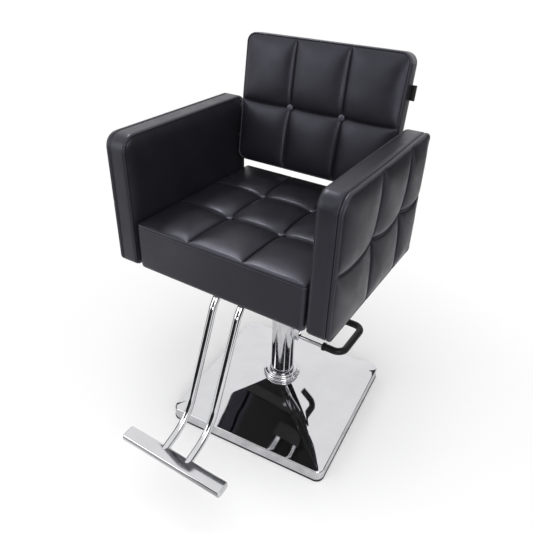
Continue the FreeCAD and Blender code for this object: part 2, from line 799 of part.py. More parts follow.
def stud_places():
    """The y and z of the studs' axes, which lie along X."""
    (_, y, z), _ = back_frame()
    forward = s.back_cover_depth - s.back_board_thick / 2
    return [(y + rise * sine(s.back_tilt) - forward * cosine(s.back_tilt),
             z + rise * cosine(s.back_tilt) + forward * sine(s.back_tilt))
            for rise in (s.stud_low, s.stud_high)]


def build_arms(screw_places):
    """Boxed covers, wooden cores and tufted outer panels of both arms."""
    front, low = float(arm_front), float(s.seat_bottom)
    rear, high = float(arm_rear), low + float(s.arm_height)
    inner, core, outer = float(arm_inner), float(arm_core_inner), float(arm_core_outer)
    gusset = float(s.arm_gusset)
    radii = [float(r) for r in (s.arm_round_toe, s.arm_round_heel, s.arm_round_rear, s.arm_round_front)]
    upright = FreeCAD.Rotation(FreeCAD.Vector(1, 1, 1), 120)

    def standing(shape, x):
        shape.Placement = FreeCAD.Placement(vec(x, 0, 0), upright)
        return shape

    whole = rounded_outline(front, low, rear, high, radii)
    inset = rounded_outline(front + gusset, low + gusset, rear - gusset, high - gusset,
                            [r - gusset for r in radii])
    screws = [Part.makeCylinder(float(s.screw_radius), float(s.screw_grip), vec(x, y, s.seat_bottom))
              for x, y in screw_places if float(x) > 0]
    studs = [Part.makeCylinder(float(s.stud_radius), float(s.arm_padding + s.arm_core_thick / 2),
                               vec(inner, y, z), FreeCAD.Vector(1, 0, 0)) for y, z in stud_places()]
    cover = standing(slab(whole, outer - inner), inner).cut(standing(slab(inset, outer - core), core))
    x_seams = [front + float(s.arm_seam_front), front + float(s.arm_seam_rear)]
    shapes = {
        "cover": cover.cut([*screws, *studs]),
        "core": standing(slab(inset, outer - core), core).cut([*screws, *studs]),
        "pad": standing(tufted_pad(
            (front, rear), (low, high), x_seams, [low + float(s.arm_seam_rise)],
            float(s.arm_edge_depth), float(s.arm_seam_depth), float(s.arm_crown_depth), radii), outer),
    }
    for name, shape in shapes.items():
        keep(feature(f"arm_right_{name}", shape))
        keep(feature(f"arm_left_{name}", shape.mirror(FreeCAD.Vector(), FreeCAD.Vector(1, 0, 0))))


def build_back():
    """Boxed cover, board, tufted front and buttons of the back, and the studs that hold it."""
    at, lean = back_frame()
    frame = FreeCAD.Placement(vec(*at), FreeCAD.Rotation(FreeCAD.Vector(1, 0, 0), float(lean)))
    half, high = float(s.back_width) / 2, float(s.back_height)
    depth, gusset = float(s.back_cover_depth), float(s.back_gusset)
    board_thick, corner = float(s.back_board_thick), float(s.back_round)
    inset = rounded_outline(gusset - half, gusset, half - gusset, high - gusset,
                            [corner - gusset] * 4, depth - board_thick)
    board = slab(inset, board_thick)
    grip = float(s.stud_grip)
    middle = depth - board_thick / 2
    across = FreeCAD.Vector(1, 0, 0)
    holes = [Part.makeCylinder(float(s.stud_radius), grip, vec(start, rise, middle), across)
             for rise in (s.stud_low, s.stud_high) for start in (-half, half - grip)]
    cover = slab(rounded_outline(-half, 0, half, high, [corner] * 4), depth).cut(board)
    keep(feature("back_cover", cover.cut(holes), frame))
    keep(feature("back_board", board.cut(holes), frame))

    seams = [-float(s.back_seam_across), float(s.back_seam_across)]
    rise = float(s.back_seam_rise)
    pad = tufted_pad((-half, half), (0, high), seams, [rise], float(s.back_edge_depth),
                     float(s.back_seam_depth), float(s.back_crown_depth), [corner] * 4)
    pad = pad.cut([button_well(x, rise, s.back_seam_depth, s.back_crown_depth) for x in seams])
    forward_of_cover = FreeCAD.Placement(vec(0, 0, depth), FreeCAD.Rotation())
    keep(feature("back_pad", pad, frame.multiply(forward_of_cover)))
    forward = s.back_cover_depth + s.back_seam_depth
    _, y, z = at
    button_y = y + s.back_seam_rise * sine(s.back_tilt) - forward * cosine(s.back_tilt)
    button_z = z + s.back_seam_rise * cosine(s.back_tilt) + forward * sine(s.back_tilt)
    for i, across in enumerate((-s.back_seam_across, s.back_seam_across), start=1):
        place(button(f"back_button_{i}"), (across, button_y, button_z), (1, 0, 0), lean)

    number = 0
    shoulder = arm_inner - s.back_width / 2
    arm_end = shoulder + s.arm_padding + s.arm_core_thick / 2
    for y, z in stud_places():
        for side, quarter in ((-1, -90), (1, 90)):
            number += 1
            stud = turned(f"back_stud_{number}", [
                (0, -s.stud_grip), (s.stud_radius, -s.stud_grip), (s.stud_radius, 0),
                (s.stud_shoulder_radius, 0), (s.stud_shoulder_radius, shoulder),
                (s.stud_radius, shoulder), (s.stud_radius, arm_end), (0, arm_end)])
            keep(place(stud, (side * s.back_width / 2, y, z), (0, 1, 0), quarter))


def build_footrest():
    """Bracket under the seat board, two bent tubes and the flat-topped foot bar."""
    drop_height = s.seat_bottom - s.rest_drop
    half = s.rest_tube_offset + s.rest_tube_radius + s.rest_bracket_wall
    height = s.rest_drop + s.rest_tube_radius + s.rest_bracket_wall
    block = box("rest_block", 2 * half, s.rest_bracket_depth, height,
                (-half, -s.rest_bracket_rear - s.rest_bracket_depth, s.seat_bottom - height))
    bores = [rod(f"rest_bore_{i}", s.rest_tube_radius, s.rest_bracket_depth,
                 (x, -s.rest_bracket_rear, drop_height), (1, 0, 0), 90)
             for i, x in enumerate((-s.rest_tube_offset, s.rest_tube_offset), start=1)]
    keep(cut("footrest_bracket", block, bores))

    bar_height = s.seat_bottom - s.foot_bar_drop
    body, sketch = body_with_sketch("foot_bar", "YZ_Plane")
    half_width = s.foot_bar_width / 2
    half_height = s.foot_bar_height / 2
    outline(sketch, [(-half_width, -half_height), (half_width, -half_height),
                     (half_width, half_height), (-half_width, half_height)])
    pad = body.newObject("PartDesign::Pad", "foot_bar_pad")
    pad.Profile = sketch
    bind(pad, "Length", s.foot_bar_length)

    def lengthwise(sign):
        return lambda edge: (all(v.Z * sign > float(half_height) - ON_PLANE for v in edge.Vertexes)
                             and abs(edge.Vertexes[0].X - edge.Vertexes[-1].X) > ON_PLANE)

    sole = rounded(body, pad, lengthwise(-1), s.foot_bar_sole_round)
    rounded(body, sole, lengthwise(1), s.foot_bar_top_round)
    keep(place(body, (-s.foot_bar_length / 2, -s.foot_bar_reach, bar_height), (1, 0, 0), s.foot_bar_tilt))
    doc.recompute()

    for name, side in (("left", -1), ("right", 1)):
        x = float(side * s.rest_tube_offset)
        corners = [(s.rest_bracket_rear, drop_height), (s.rest_knee_reach, drop_height),
                   (s.rest_ankle_reach, s.seat_bottom - s.rest_ankle_drop), (s.foot_bar_reach, bar_height)]
        bends = float(s.rest_bend), float(s.rest_ankle_bend)
        path = bent_path([vec(x, -reach, z) for reach, z in corners], bends)
        bore = float(s.rest_tube_radius - s.rest_tube_wall)
        tube = bar_along(path, float(s.rest_tube_radius)).cut(bar_along(path, bore))
        keep(feature(f"footrest_tube_{name}", tube.cut(body.Shape)))


def write_parts():
    """Check every object and write each sub-part to its own file."""
    doc.recompute()
    failed = [item.Name for item in doc.Objects if {"Invalid", "Error"} & set(item.State)]
    failed += [item.Label for item in nodes if item.Shape.isNull() or not item.Shape.isValid()]
    failed += [item.Label for item in nodes if len(item.Shape.Solids) != 1]
    if failed:
        raise RuntimeError("failed: " + ", ".join(failed))
    os.makedirs("parts", exist_ok=True)
    for item in nodes:
        item.Shape.exportStep(f"parts/{item.Label}.step")
    print(len(nodes), "sub-parts written")


build_base()
build_pump()
build_lift()
build_pedal()
seat_bolts, arm_screws = build_swivel_frame()
build_seat(seat_bolts)
build_arms(arm_screws)
build_back()
build_footrest()
write_parts()
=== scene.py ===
"""Looks of the hydraulic styling chair: tufted black upholstery, polished chrome, white studio."""
from dataclasses import dataclass, field
import json
import math

import bmesh
import bpy
import numpy as np
from mathutils import Matrix, Vector

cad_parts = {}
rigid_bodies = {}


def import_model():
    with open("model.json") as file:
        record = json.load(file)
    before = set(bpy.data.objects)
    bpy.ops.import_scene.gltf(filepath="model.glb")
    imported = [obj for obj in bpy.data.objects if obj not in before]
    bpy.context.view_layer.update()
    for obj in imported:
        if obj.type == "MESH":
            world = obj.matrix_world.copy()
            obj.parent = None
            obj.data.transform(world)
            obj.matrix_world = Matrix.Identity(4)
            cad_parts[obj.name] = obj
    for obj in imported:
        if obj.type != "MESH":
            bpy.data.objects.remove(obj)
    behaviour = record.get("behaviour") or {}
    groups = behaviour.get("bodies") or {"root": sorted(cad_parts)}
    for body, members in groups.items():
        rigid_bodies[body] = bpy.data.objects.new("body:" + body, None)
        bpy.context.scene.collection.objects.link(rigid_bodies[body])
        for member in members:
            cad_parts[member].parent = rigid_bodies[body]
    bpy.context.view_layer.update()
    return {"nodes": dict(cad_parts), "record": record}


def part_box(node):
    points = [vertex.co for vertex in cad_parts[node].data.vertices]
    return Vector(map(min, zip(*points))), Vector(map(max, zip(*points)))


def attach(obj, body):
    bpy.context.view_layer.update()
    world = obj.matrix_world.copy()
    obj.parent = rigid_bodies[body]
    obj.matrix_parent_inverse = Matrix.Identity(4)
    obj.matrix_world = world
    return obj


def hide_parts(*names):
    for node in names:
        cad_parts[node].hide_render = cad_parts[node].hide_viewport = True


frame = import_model()
scene = bpy.context.scene
MM = 0.001  # metres in a millimetre; pieces are worked out in millimetres


# Shader helpers

def new_material(name):
    made = bpy.data.materials.new(name)
    made.use_nodes = True
    tree = made.node_tree
    return made, tree, tree.nodes["Principled BSDF"]


def add(tree, kind, **values):
    """A node with its properties and its unlinked sockets set by name."""
    node = tree.nodes.new(kind)
    for key, value in values.items():
        if hasattr(node, key):
            setattr(node, key, value)
        else:
            node.inputs[key.replace("_", " ")].default_value = value
    return node


def object_coordinates(tree):
    return tree.nodes.new("ShaderNodeTexCoord").outputs["Object"]


def noise(tree, where, scale, detail=3.0, rough=0.55):
    node = add(tree, "ShaderNodeTexNoise", Scale=scale, Detail=detail, Roughness=rough)
    tree.links.new(where, node.inputs["Vector"])
    return node.outputs["Fac"]


def stretched(tree, where, scale):
    node = add(tree, "ShaderNodeMapping")
    node.inputs["Scale"].default_value = scale
    tree.links.new(where, node.inputs["Vector"])
    return node.outputs["Vector"]


def spread(tree, value, low, high, from_low=0.3, from_high=0.7):
    """A value mapped from one range to another."""
    node = add(tree, "ShaderNodeMapRange", From_Min=from_low, From_Max=from_high, To_Min=low, To_Max=high)
    tree.links.new(value, node.inputs["Value"])
    return node.outputs["Result"]


def mixed(tree, factor, first, second):
    """Two colours, or linked colour sockets, mixed by a linked factor."""
    node = add(tree, "ShaderNodeMix", data_type="RGBA")
    factor_socket, first_socket, second_socket = (node.inputs[k] for k in (0, 6, 7))
    tree.links.new(factor, factor_socket)
    for socket, item in ((first_socket, first), (second_socket, second)):
        if isinstance(item, bpy.types.NodeSocket):
            tree.links.new(item, socket)
        else:
            socket.default_value = item
    return node.outputs[2]


def maths(tree, operation, *items):
    """A Math node on numbers and linked sockets."""
    node = add(tree, "ShaderNodeMath", operation=operation)
    for socket, item in zip(node.inputs, items):
        if isinstance(item, bpy.types.NodeSocket):
            tree.links.new(item, socket)
        else:
            socket.default_value = item
    return node.outputs["Value"]


def shade(level, tint=(1.0, 1.0, 1.0)):
    return (level * tint[0], level * tint[1], level * tint[2], 1.0)


def bump(tree, shader, height, strength, distance):
    node = add(tree, "ShaderNodeBump", Strength=strength, Distance=distance)
    tree.links.new(height, node.inputs["Height"])
    tree.links.new(node.outputs["Normal"], shader.inputs["Normal"])


# Materials

LEATHER_TINT = (0.98, 0.96, 1.22)
LEATHER_GLOSS = (0.82, 0.81, 1.0, 1.0)  # the coating shines slightly blue
CREASE_SHADE_BENDS = (0.42, 0.488)  # Pointiness from the deepest painted crease shade to open leather
DULL_BENDS = (0.43, 0.488)  # the same for the dullest crease
EDGE_BENDS = (0.512, 0.56)  # Pointiness from open leather to the most rubbed edge
CHROME_DULL = (0.98, 0.98, 1.01)
CHROME_BRIGHT = (0.99, 0.99, 1.02)


def leather_material(name, level, rough):
    """Coated leathercloth: pebble grain, faint mottling, painted shade and dull roughness in the creases,
    and rubbed edges.
    """
    made, tree, shader = new_material(name)
    where = object_coordinates(tree)
    mottle = spread(tree, noise(tree, where, 9.0, 4.0, 0.5), 0.0, 1.0)
    colour = mixed(tree, mottle, shade(level * 0.85, LEATHER_TINT), shade(level * 1.15, LEATHER_TINT))
    bent = tree.nodes.new("ShaderNodeNewGeometry").outputs["Pointiness"]
    # Painted shade: concave creases are darkened to a quarter of the leather's colour
    crease_shade_free = spread(tree, bent, 0.0, 1.0, *CREASE_SHADE_BENDS)
    colour = mixed(tree, crease_shade_free, shade(level * 0.25, LEATHER_TINT), colour)
    rubbed = spread(tree, bent, 0.0, 0.6, *EDGE_BENDS)
    colour = mixed(tree, rubbed, colour, shade(level * 2.6, LEATHER_TINT))
    tree.links.new(colour, shader.inputs["Base Color"])
    shader.inputs["Specular Tint"].default_value = LEATHER_GLOSS
    worn = spread(tree, noise(tree, where, 22.0, 3.0, 0.6), rough - 0.05, rough + 0.06)
    crease = spread(tree, bent, 0.3, 0.0, *DULL_BENDS)
    tree.links.new(maths(tree, "ADD", worn, crease), shader.inputs["Roughness"])
    grain = add(tree, "ShaderNodeTexVoronoi", feature="DISTANCE_TO_EDGE", Scale=720.0)
    tree.links.new(where, grain.inputs["Vector"])
    pebble = spread(tree, grain.outputs["Distance"], 0.0, 0.8, 0.0, 0.28)
    fine = noise(tree, where, 1900.0, 2.0, 0.6)
    bump(tree, shader, maths(tree, "ADD", pebble, fine), 0.2, 0.00025)
    return made


def chrome_material(name, level, rough, waves=0.0):
    """Polished chromium plating with faint cloudy wiping marks; pressed sheet is slightly wavy."""
    made, tree, shader = new_material(name)
    where = object_coordinates(tree)
    cloud = spread(tree, noise(tree, where, 14.0, 4.0, 0.6), 0.0, 1.0)
    dull, bright = shade(level * 0.95, CHROME_DULL), shade(level, CHROME_BRIGHT)
    tree.links.new(mixed(tree, cloud, dull, bright), shader.inputs["Base Color"])
    shader.inputs["Metallic"].default_value = 1.0
    wiped = noise(tree, where, 55.0, 5.0, 0.65)
    tree.links.new(spread(tree, wiped, rough, rough * 2.2, 0.35, 0.75), shader.inputs["Roughness"])
    if waves:
        bump(tree, shader, noise(tree, where, 7.0, 1.0, 0.4), 1.0, waves)
    return made


def metal_material(name, colour, rough, streak):
    """Turned or zinc-plated metal with fine streaks round its axis."""
    made, tree, shader = new_material(name)
    where = stretched(tree, object_coordinates(tree), (1.0, 1.0, streak))
    lines = noise(tree, where, 60.0, 4.0, 0.6)
    dull = tuple(0.82 * c for c in colour) + (1.0,)
    tree.links.new(mixed(tree, spread(tree, lines, 0.0, 1.0), dull, colour + (1.0,)),
                   shader.inputs["Base Color"])
    shader.inputs["Metallic"].default_value = 1.0
    tree.links.new(spread(tree, lines, rough, rough + 0.15), shader.inputs["Roughness"])
    return made


def coated_material(name, level, rough, scale, depth, tint=(1.0, 1.0, 1.0), gloss=0.5):
    """Moulded rubber, paint, thread, webbing or card: an even colour with a fine texture."""
    made, tree, shader = new_material(name)
    where = object_coordinates(tree)
    patch = spread(tree, noise(tree, where, 18.0, 3.0, 0.5), 0.0, 1.0)
    tree.links.new(mixed(tree, patch, shade(level * 0.8, tint), shade(level * 1.2, tint)),
                   shader.inputs["Base Color"])
    shader.inputs["Specular IOR Level"].default_value = gloss
    speck = noise(tree, where, scale, 3.0, 0.6)
    tree.links.new(spread(tree, speck, rough - 0.06, rough + 0.06), shader.inputs["Roughness"])
    bump(tree, shader, speck, 0.3, depth)
    return made


def plywood_material(name, underside_shade=None):
    """Pale plies with stretched grain; a seat board's downward faces get painted shade, near-black, which
    the chrome below mirrors.
    """
    made, tree, shader = new_material(name)
    where = stretched(tree, object_coordinates(tree), (30.0, 3.0, 160.0))
    grain = noise(tree, where, 3.0, 6.0, 0.65)
    colour = mixed(tree, spread(tree, grain, 0.0, 1.0), (0.36, 0.24, 0.13, 1.0), (0.60, 0.45, 0.28, 1.0))
    if underside_shade is not None:
        normal = tree.nodes.new("ShaderNodeNewGeometry").outputs["Normal"]
        split = tree.nodes.new("ShaderNodeSeparateXYZ")
        tree.links.new(normal, split.inputs["Vector"])
        # Painted shade: faces that look down are made near-black
        downward = maths(tree, "LESS_THAN", split.outputs["Z"], -0.5)
        colour = mixed(tree, downward, colour, shade(underside_shade))
    tree.links.new(colour, shader.inputs["Base Color"])
    shader.inputs["Roughness"].default_value = 0.75
    bump(tree, shader, grain, 0.15, 0.0004)
    return made


leather = leather_material("black_leathercloth", 0.011, 0.35)
# Painted highlight: the buttons' leathercloth is the seat's own, made about four times lighter so that the
# buttons read as lit
lightened_button_leather = leather_material("button_leathercloth", 0.042, 0.22)
thread = coated_material("black_thread", 0.004, 0.6, 2600.0, 0.0002, LEATHER_TINT, gloss=0.2)
webbing = coated_material("black_webbing", 0.010, 0.7, 1500.0, 0.0004)
looks = {
    "chrome": chrome_material("polished_chrome", 0.70, 0.05),
    "steel": metal_material("zinc_steel", (0.50, 0.51, 0.53), 0.28, 14.0),
    "black_metal": coated_material("satin_black_paint", 0.012, 0.38, 900.0, 0.00012),
    "rubber": coated_material("black_rubber", 0.007, 0.36, 700.0, 0.0002, gloss=0.22),
    "brass": metal_material("turned_brass", (0.62, 0.43, 0.16), 0.22, 14.0),
    "plywood": plywood_material("raw_plywood"),
    "leather": lightened_button_leather,
    "upholstery": leather,
}
board_shaded_underneath = plywood_material("plywood_shaded_underneath", underside_shade=0.006)
pressed_chrome = chrome_material("pressed_chrome", 0.70, 0.025, waves=0.0012)

slot_of = {row["node"]: row["material_slot"] for row in frame["record"]["subparts"]}
for node_name, node_object in frame["nodes"].items():
    look = board_shaded_underneath if node_name == "seat_board" else looks[slot_of[node_name]]
    node_object.data.materials.clear()
    node_object.data.materials.append(look)


# Mesh helpers

def node_box(name):
    """A CAD node's lowest and highest corner in millimetres."""
    low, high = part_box(name)
    return np.array(low) / MM, np.array(high) / MM


def mesh_piece(name, points, faces, material, body, slot):
    """A smooth piece from points in millimetres in the chair's frame; it rides on a body."""
    mesh = bpy.data.meshes.new(name)
    mesh.from_pydata((np.asarray(points, float) * MM).tolist(), [], [list(face) for face in faces])
    mesh.polygons.foreach_set("use_smooth", [True] * len(mesh.polygons))
    shell = bmesh.new()
    shell.from_mesh(mesh)
    bmesh.ops.recalc_face_normals(shell, faces=shell.faces)
    shell.to_mesh(mesh)
    shell.free()
    mesh.materials.append(material)
    mesh.update()
    piece = bpy.data.objects.new(name, mesh)
    scene.collection.objects.link(piece)
    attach(piece, body)
    return piece


def grid_quads(index):
    """The faces of a rectangular array of point numbers."""
    corners = (index[:-1, :-1], index[1:, :-1], index[1:, 1:], index[:-1, 1:])
    return np.stack(corners, axis=-1).reshape(-1, 4)


def skin(rings, looped=False):
    """Points and faces over a run of equal closed rings, whose ends are joined or capped."""
    rings = np.array(rings)
    count, size = rings.shape[:2]
    index = np.arange(count * size).reshape(count, size)
    run = np.vstack([index, index[:1]]) if looped else index
    faces = grid_quads(np.hstack([run, run[:, :1]])).tolist()
    if not looped:
        faces += [index[0].tolist(), index[-1].tolist()]
    return rings.reshape(-1, 3), faces


def arc(middle, radius, start, stop, steps):
    """Points on a round stretch, from one angle in degrees to another."""
    turns = np.radians(np.linspace(start, stop, steps))
    return [(middle[0] + radius * math.cos(turn), middle[1] + radius * math.sin(turn)) for turn in turns]


# Sewn panels, each in its own frame in millimetres: u across, v up and w out of the panel

@dataclass
class Panel:
    name: str
    u_marks: tuple  # rim, seams, rim
    v_marks: tuple
    radii: tuple  # of the corners, from the low one on round
    edge: float  # height of the rim
    crown: float  # rise of each pillow
    tufts: list  # crossings that are drawn in
    tuft_depth: float
    tuft_reach: float
    sides: list  # steps out of the rim and down from it
    rear: float
    rear_crown: float = 0.0
    rear_round: float = 0.0  # how far the rear face falls away towards its rim
    sag: float = 0.0  # pillows hang towards the low side
    droop: float = 0.0  # the cross seam hangs between its tufts
    button_sink: float = 0.0
    seam_drop: float = 5.0  # of the seams below the rim
    seam_round: float = 10.0  # how far from a seam a pillow's edge starts to turn down
    uneven: float = 0.5
    swell_limit: float = 4.0
    fill: float = 0.7
    rect: tuple = field(init=False)

    def __post_init__(self):
        self.rect = (self.u_marks[0], self.v_marks[0], self.u_marks[-1], self.v_marks[-1])


TUFT_FALL = 1.4  # how steeply the pull of a tuft falls off
BUTTON_REACH = 11.0  # of the dip under a button
RIM_FADE = 9.0  # over which seams and puckers come in from the rim
RIM_CALM = 30.0  # over which unevenness comes in from the rim
PUCKER_PITCH = 12.0
PUCKER_HEIGHT = 0.28
PUCKER_START = 1.5  # from the seam
PUCKER_REACH = 5.0
SIDE_FADE = 5.0  # over which the front's ups and downs die out down the sides
REAR_REACH = 32.0  # over which the rear face falls away towards its rim
LINES_PER_CELL = 40
LINE_CROWDING = 0.78  # how much closer the lines lie at a seam than in a pillow's middle
SIMULATION_STEP = 7.0
SIMULATION_FRAMES = 20
SIMULATION_PRESSURE = 4.0


def fine_lines(marks):
    """Lines from the first mark to the last, every mark on a line and lines closer near it."""
    t = np.linspace(0.0, 1.0, LINES_PER_CELL + 1)[1:]
    eased = t - LINE_CROWDING * np.sin(2 * np.pi * t) / (2 * np.pi)
    cells = [low + (high - low) * eased for low, high in zip(marks, marks[1:])]
    return np.concatenate([[marks[0]], *cells])


def coarse_lines(marks):
    """Even lines about a simulation step apart, every mark on a line."""
    cells = [np.linspace(low, high, round((high - low) / SIMULATION_STEP) + 1)[1:]
             for low, high in zip(marks, marks[1:])]
    return np.concatenate([[marks[0]], *cells])


def in_cell(values, marks):
    """Each value's place in its own cell, from -1 to 1."""
    marks = np.array(marks)
    k = np.clip(np.searchsorted(marks, values, side="right") - 1, 0, len(marks) - 2)
    return np.clip((2 * values - marks[k] - marks[k + 1]) / (marks[k + 1] - marks[k]), -1.0, 1.0)


def arch(t, power=5.0, rounding=0.75):
    """1 in the middle of a cell, and 0 at its edges."""
    return np.maximum(1.0 - np.abs(t) ** power, 0.0) ** rounding


def pillows(u, v, panel):
    """Height of the tufted panel: a crown in every cell, drawn in at each tuft."""
    a, b = in_cell(u, panel.u_marks), in_cell(v, panel.v_marks)
    b = b + panel.sag * (1 - b * b)
    height = panel.edge + panel.crown * arch(a) * arch(b)
    for tuft_u, tuft_v in panel.tufts:
        away = np.hypot(u - tuft_u, v - tuft_v) / panel.tuft_reach
        height = height - panel.tuft_depth * np.exp(-away ** TUFT_FALL)
    return height


def nearest_seam(u, v, panel):
    """Distance to the nearest sewn seam, and the place along it."""
    far = np.full(u.shape, np.inf)
    along = np.zeros(u.shape)
    for seams, across, lengthwise in ((panel.u_marks[1:-1], u, v), (panel.v_marks[1:-1], v, u)):
        for seam in seams:
            distance = np.abs(across - seam)
            along = np.where(distance < far, lengthwise, along)
            far = np.minimum(far, distance)
    return far, along


def spline_weights(coarse, fine):
    """Weights that read a smooth curve near coarse lines at fine ones."""
    at = np.interp(fine, coarse, np.arange(len(coarse)))
    k = np.clip(np.floor(at).astype(int), 0, len(coarse) - 2)
    t = at - k
    basis = ((1 - t) ** 3, 3 * t ** 3 - 6 * t ** 2 + 4, -3 * t ** 3 + 3 * t ** 2 + 3 * t + 1, t ** 3)
    weights = np.zeros((len(fine), len(coarse)))
    for shift, weight in zip((-1, 0, 1, 2), basis):
        np.add.at(weights, (np.arange(len(fine)), np.clip(k + shift, 0, len(coarse) - 1)), weight / 6)
    return weights


def swell(panel, u_fine, v_fine):
    """How far a cloth simulation blows the panel out between its sewn lines, on the fine lines."""
    u_lines, v_lines = coarse_lines(panel.u_marks), coarse_lines(panel.v_marks)
    u, v = np.meshgrid(u_lines, v_lines, indexing="ij")
    start = np.stack([u, v, pillows(u, v, panel)], axis=-1)
    mesh = bpy.data.meshes.new("swell")
    mesh.from_pydata((start.reshape(-1, 3) * MM).tolist(), [],
                     grid_quads(np.arange(u.size).reshape(u.shape)).tolist())
    sheet = bpy.data.objects.new("swell", mesh)
    scene.collection.objects.link(sheet)
    held = nearest_seam(u, v, panel)[0] < SIMULATION_STEP / 4
    held[0, :] = held[-1, :] = held[:, 0] = held[:, -1] = True
    sewn = sheet.vertex_groups.new(name="sewn")
    sewn.add(np.flatnonzero(held.ravel()).tolist(), 1.0, "REPLACE")

    cloth = sheet.modifiers.new("cloth", "CLOTH")
    cloth.settings.vertex_group_mass = sewn.name
    cloth.settings.quality = 6
    cloth.settings.use_pressure = True
    cloth.settings.uniform_pressure_force = SIMULATION_PRESSURE
    cloth.settings.effector_weights.gravity = 0.0
    cloth.point_cache.frame_end = SIMULATION_FRAMES
    for number in range(1, SIMULATION_FRAMES + 1):
        scene.frame_set(number)
    blown = sheet.evaluated_get(bpy.context.evaluated_depsgraph_get()).to_mesh()
    flat = np.zeros(len(blown.vertices) * 3)
    blown.vertices.foreach_get("co", flat)
    moved = flat.reshape(start.shape)[..., 2] / MM - start[..., 2]
    bpy.data.objects.remove(sheet)
    bpy.data.meshes.remove(mesh)
    scene.frame_set(1)
    print(panel.name, "swells from", round(float(moved.min()), 2), "to", round(float(moved.max()), 2), "mm")
    moved = np.clip(moved, -panel.swell_limit / 2, panel.swell_limit)
    return spline_weights(u_lines, u_fine) @ moved @ spline_weights(v_lines, v_fine).T


def finished_front(panel, u, v, u_lines, v_lines):
    """The panel's height: swollen pillows, sharp sewn creases, puckers and slight unevenness."""
    height = pillows(u, v, panel)
    height = height + swell(panel, u_lines, v_lines)
    far, along = nearest_seam(u, v, panel)
    u_low, v_low, u_high, v_high = panel.rect
    rim = np.minimum.reduce([u - u_low, u_high - u, v - v_low, v_high - v])
    fade = np.clip(rim / RIM_FADE, 0.25, 1.0)
    turned = 1.0 - np.minimum(far / panel.seam_round, 1.0)
    height = height - panel.seam_drop * fade * (1.0 - np.sqrt(1.0 - turned ** 2))
    drift = 1.7 * np.sin(along / 31.0)  # so that the puckers aren't evenly spaced
    pucker = np.sin(along * 2 * np.pi / PUCKER_PITCH + drift)
    beside = np.exp(-far / PUCKER_REACH) * (1 - np.exp(-far / PUCKER_START))
    height = height + PUCKER_HEIGHT * fade * pucker * beside
    # Slow waves of unlike lengths, so that no two pillows are the same
    waves = np.sin(u / 27.0 + 1.3 * np.sin(v / 41.0)) + np.sin(v / 33.0 + 1.1 * np.sin(u / 52.0) + 0.8)
    height = height + panel.uneven / 2 * waves * np.clip(rim / RIM_CALM, 0.0, 1.0)
    for tuft_u, tuft_v in panel.tufts:
        away = np.hypot(u - tuft_u, v - tuft_v)
        height = height - panel.button_sink * np.exp(-(away / BUTTON_REACH) ** 2)
    return height


def round_corners(u, v, rect, radii):
    """A square grid's points moved so that its outline has round corners; also each one's way out."""
    u, v = u.copy(), v.copy()
    u_low, v_low, u_high, v_high = rect
    out_u = np.where(np.isclose(u, u_high), 1.0, np.where(np.isclose(u, u_low), -1.0, 0.0))
    out_v = np.where(np.isclose(v, v_high), 1.0, np.where(np.isclose(v, v_low), -1.0, 0.0))
    corners = ((u_low, v_low, 1, 1), (u_high, v_low, -1, 1),
               (u_high, v_high, -1, -1), (u_low, v_high, 1, -1))
    for (corner_u, corner_v, side_u, side_v), radius in zip(corners, radii):
        middle_u, middle_v = corner_u + side_u * radius, corner_v + side_v * radius
        a, b = (middle_u - u) * side_u / radius, (middle_v - v) * side_v / radius
        inside = (a > 0) & (b > 0)
        disc_a = a * np.sqrt(np.maximum(1 - b * b / 2, 0))
        disc_b = b * np.sqrt(np.maximum(1 - a * a / 2, 0))
        u = np.where(inside, middle_u - side_u * radius * disc_a, u)
        v = np.where(inside, middle_v - side_v * radius * disc_b, v)
        length = np.maximum(np.hypot(disc_a, disc_b), 1e-9)
        out_u = np.where(inside, -side_u * disc_a / length, out_u)
        out_v = np.where(inside, -side_v * disc_b / length, out_v)
    return u, v, out_u, out_v


def hanging(u, v, panel):
    """How far each point of the front hangs down with the cross seams between the tufts."""
    low = np.array(panel.v_marks[:-1])
    high = np.array(panel.v_marks[1:])
    k = np.clip(np.searchsorted(panel.v_marks, v, side="right") - 1, 0, len(low) - 1)
    from_low = (v - low[k]) / (high - low)[k]
    share = np.where(k == 0, from_low, np.where(k == len(low) - 1, 1.0 - from_low, 1.0))
    return panel.droop * share ** 2 * (1.0 - in_cell(u, panel.u_marks) ** 2)


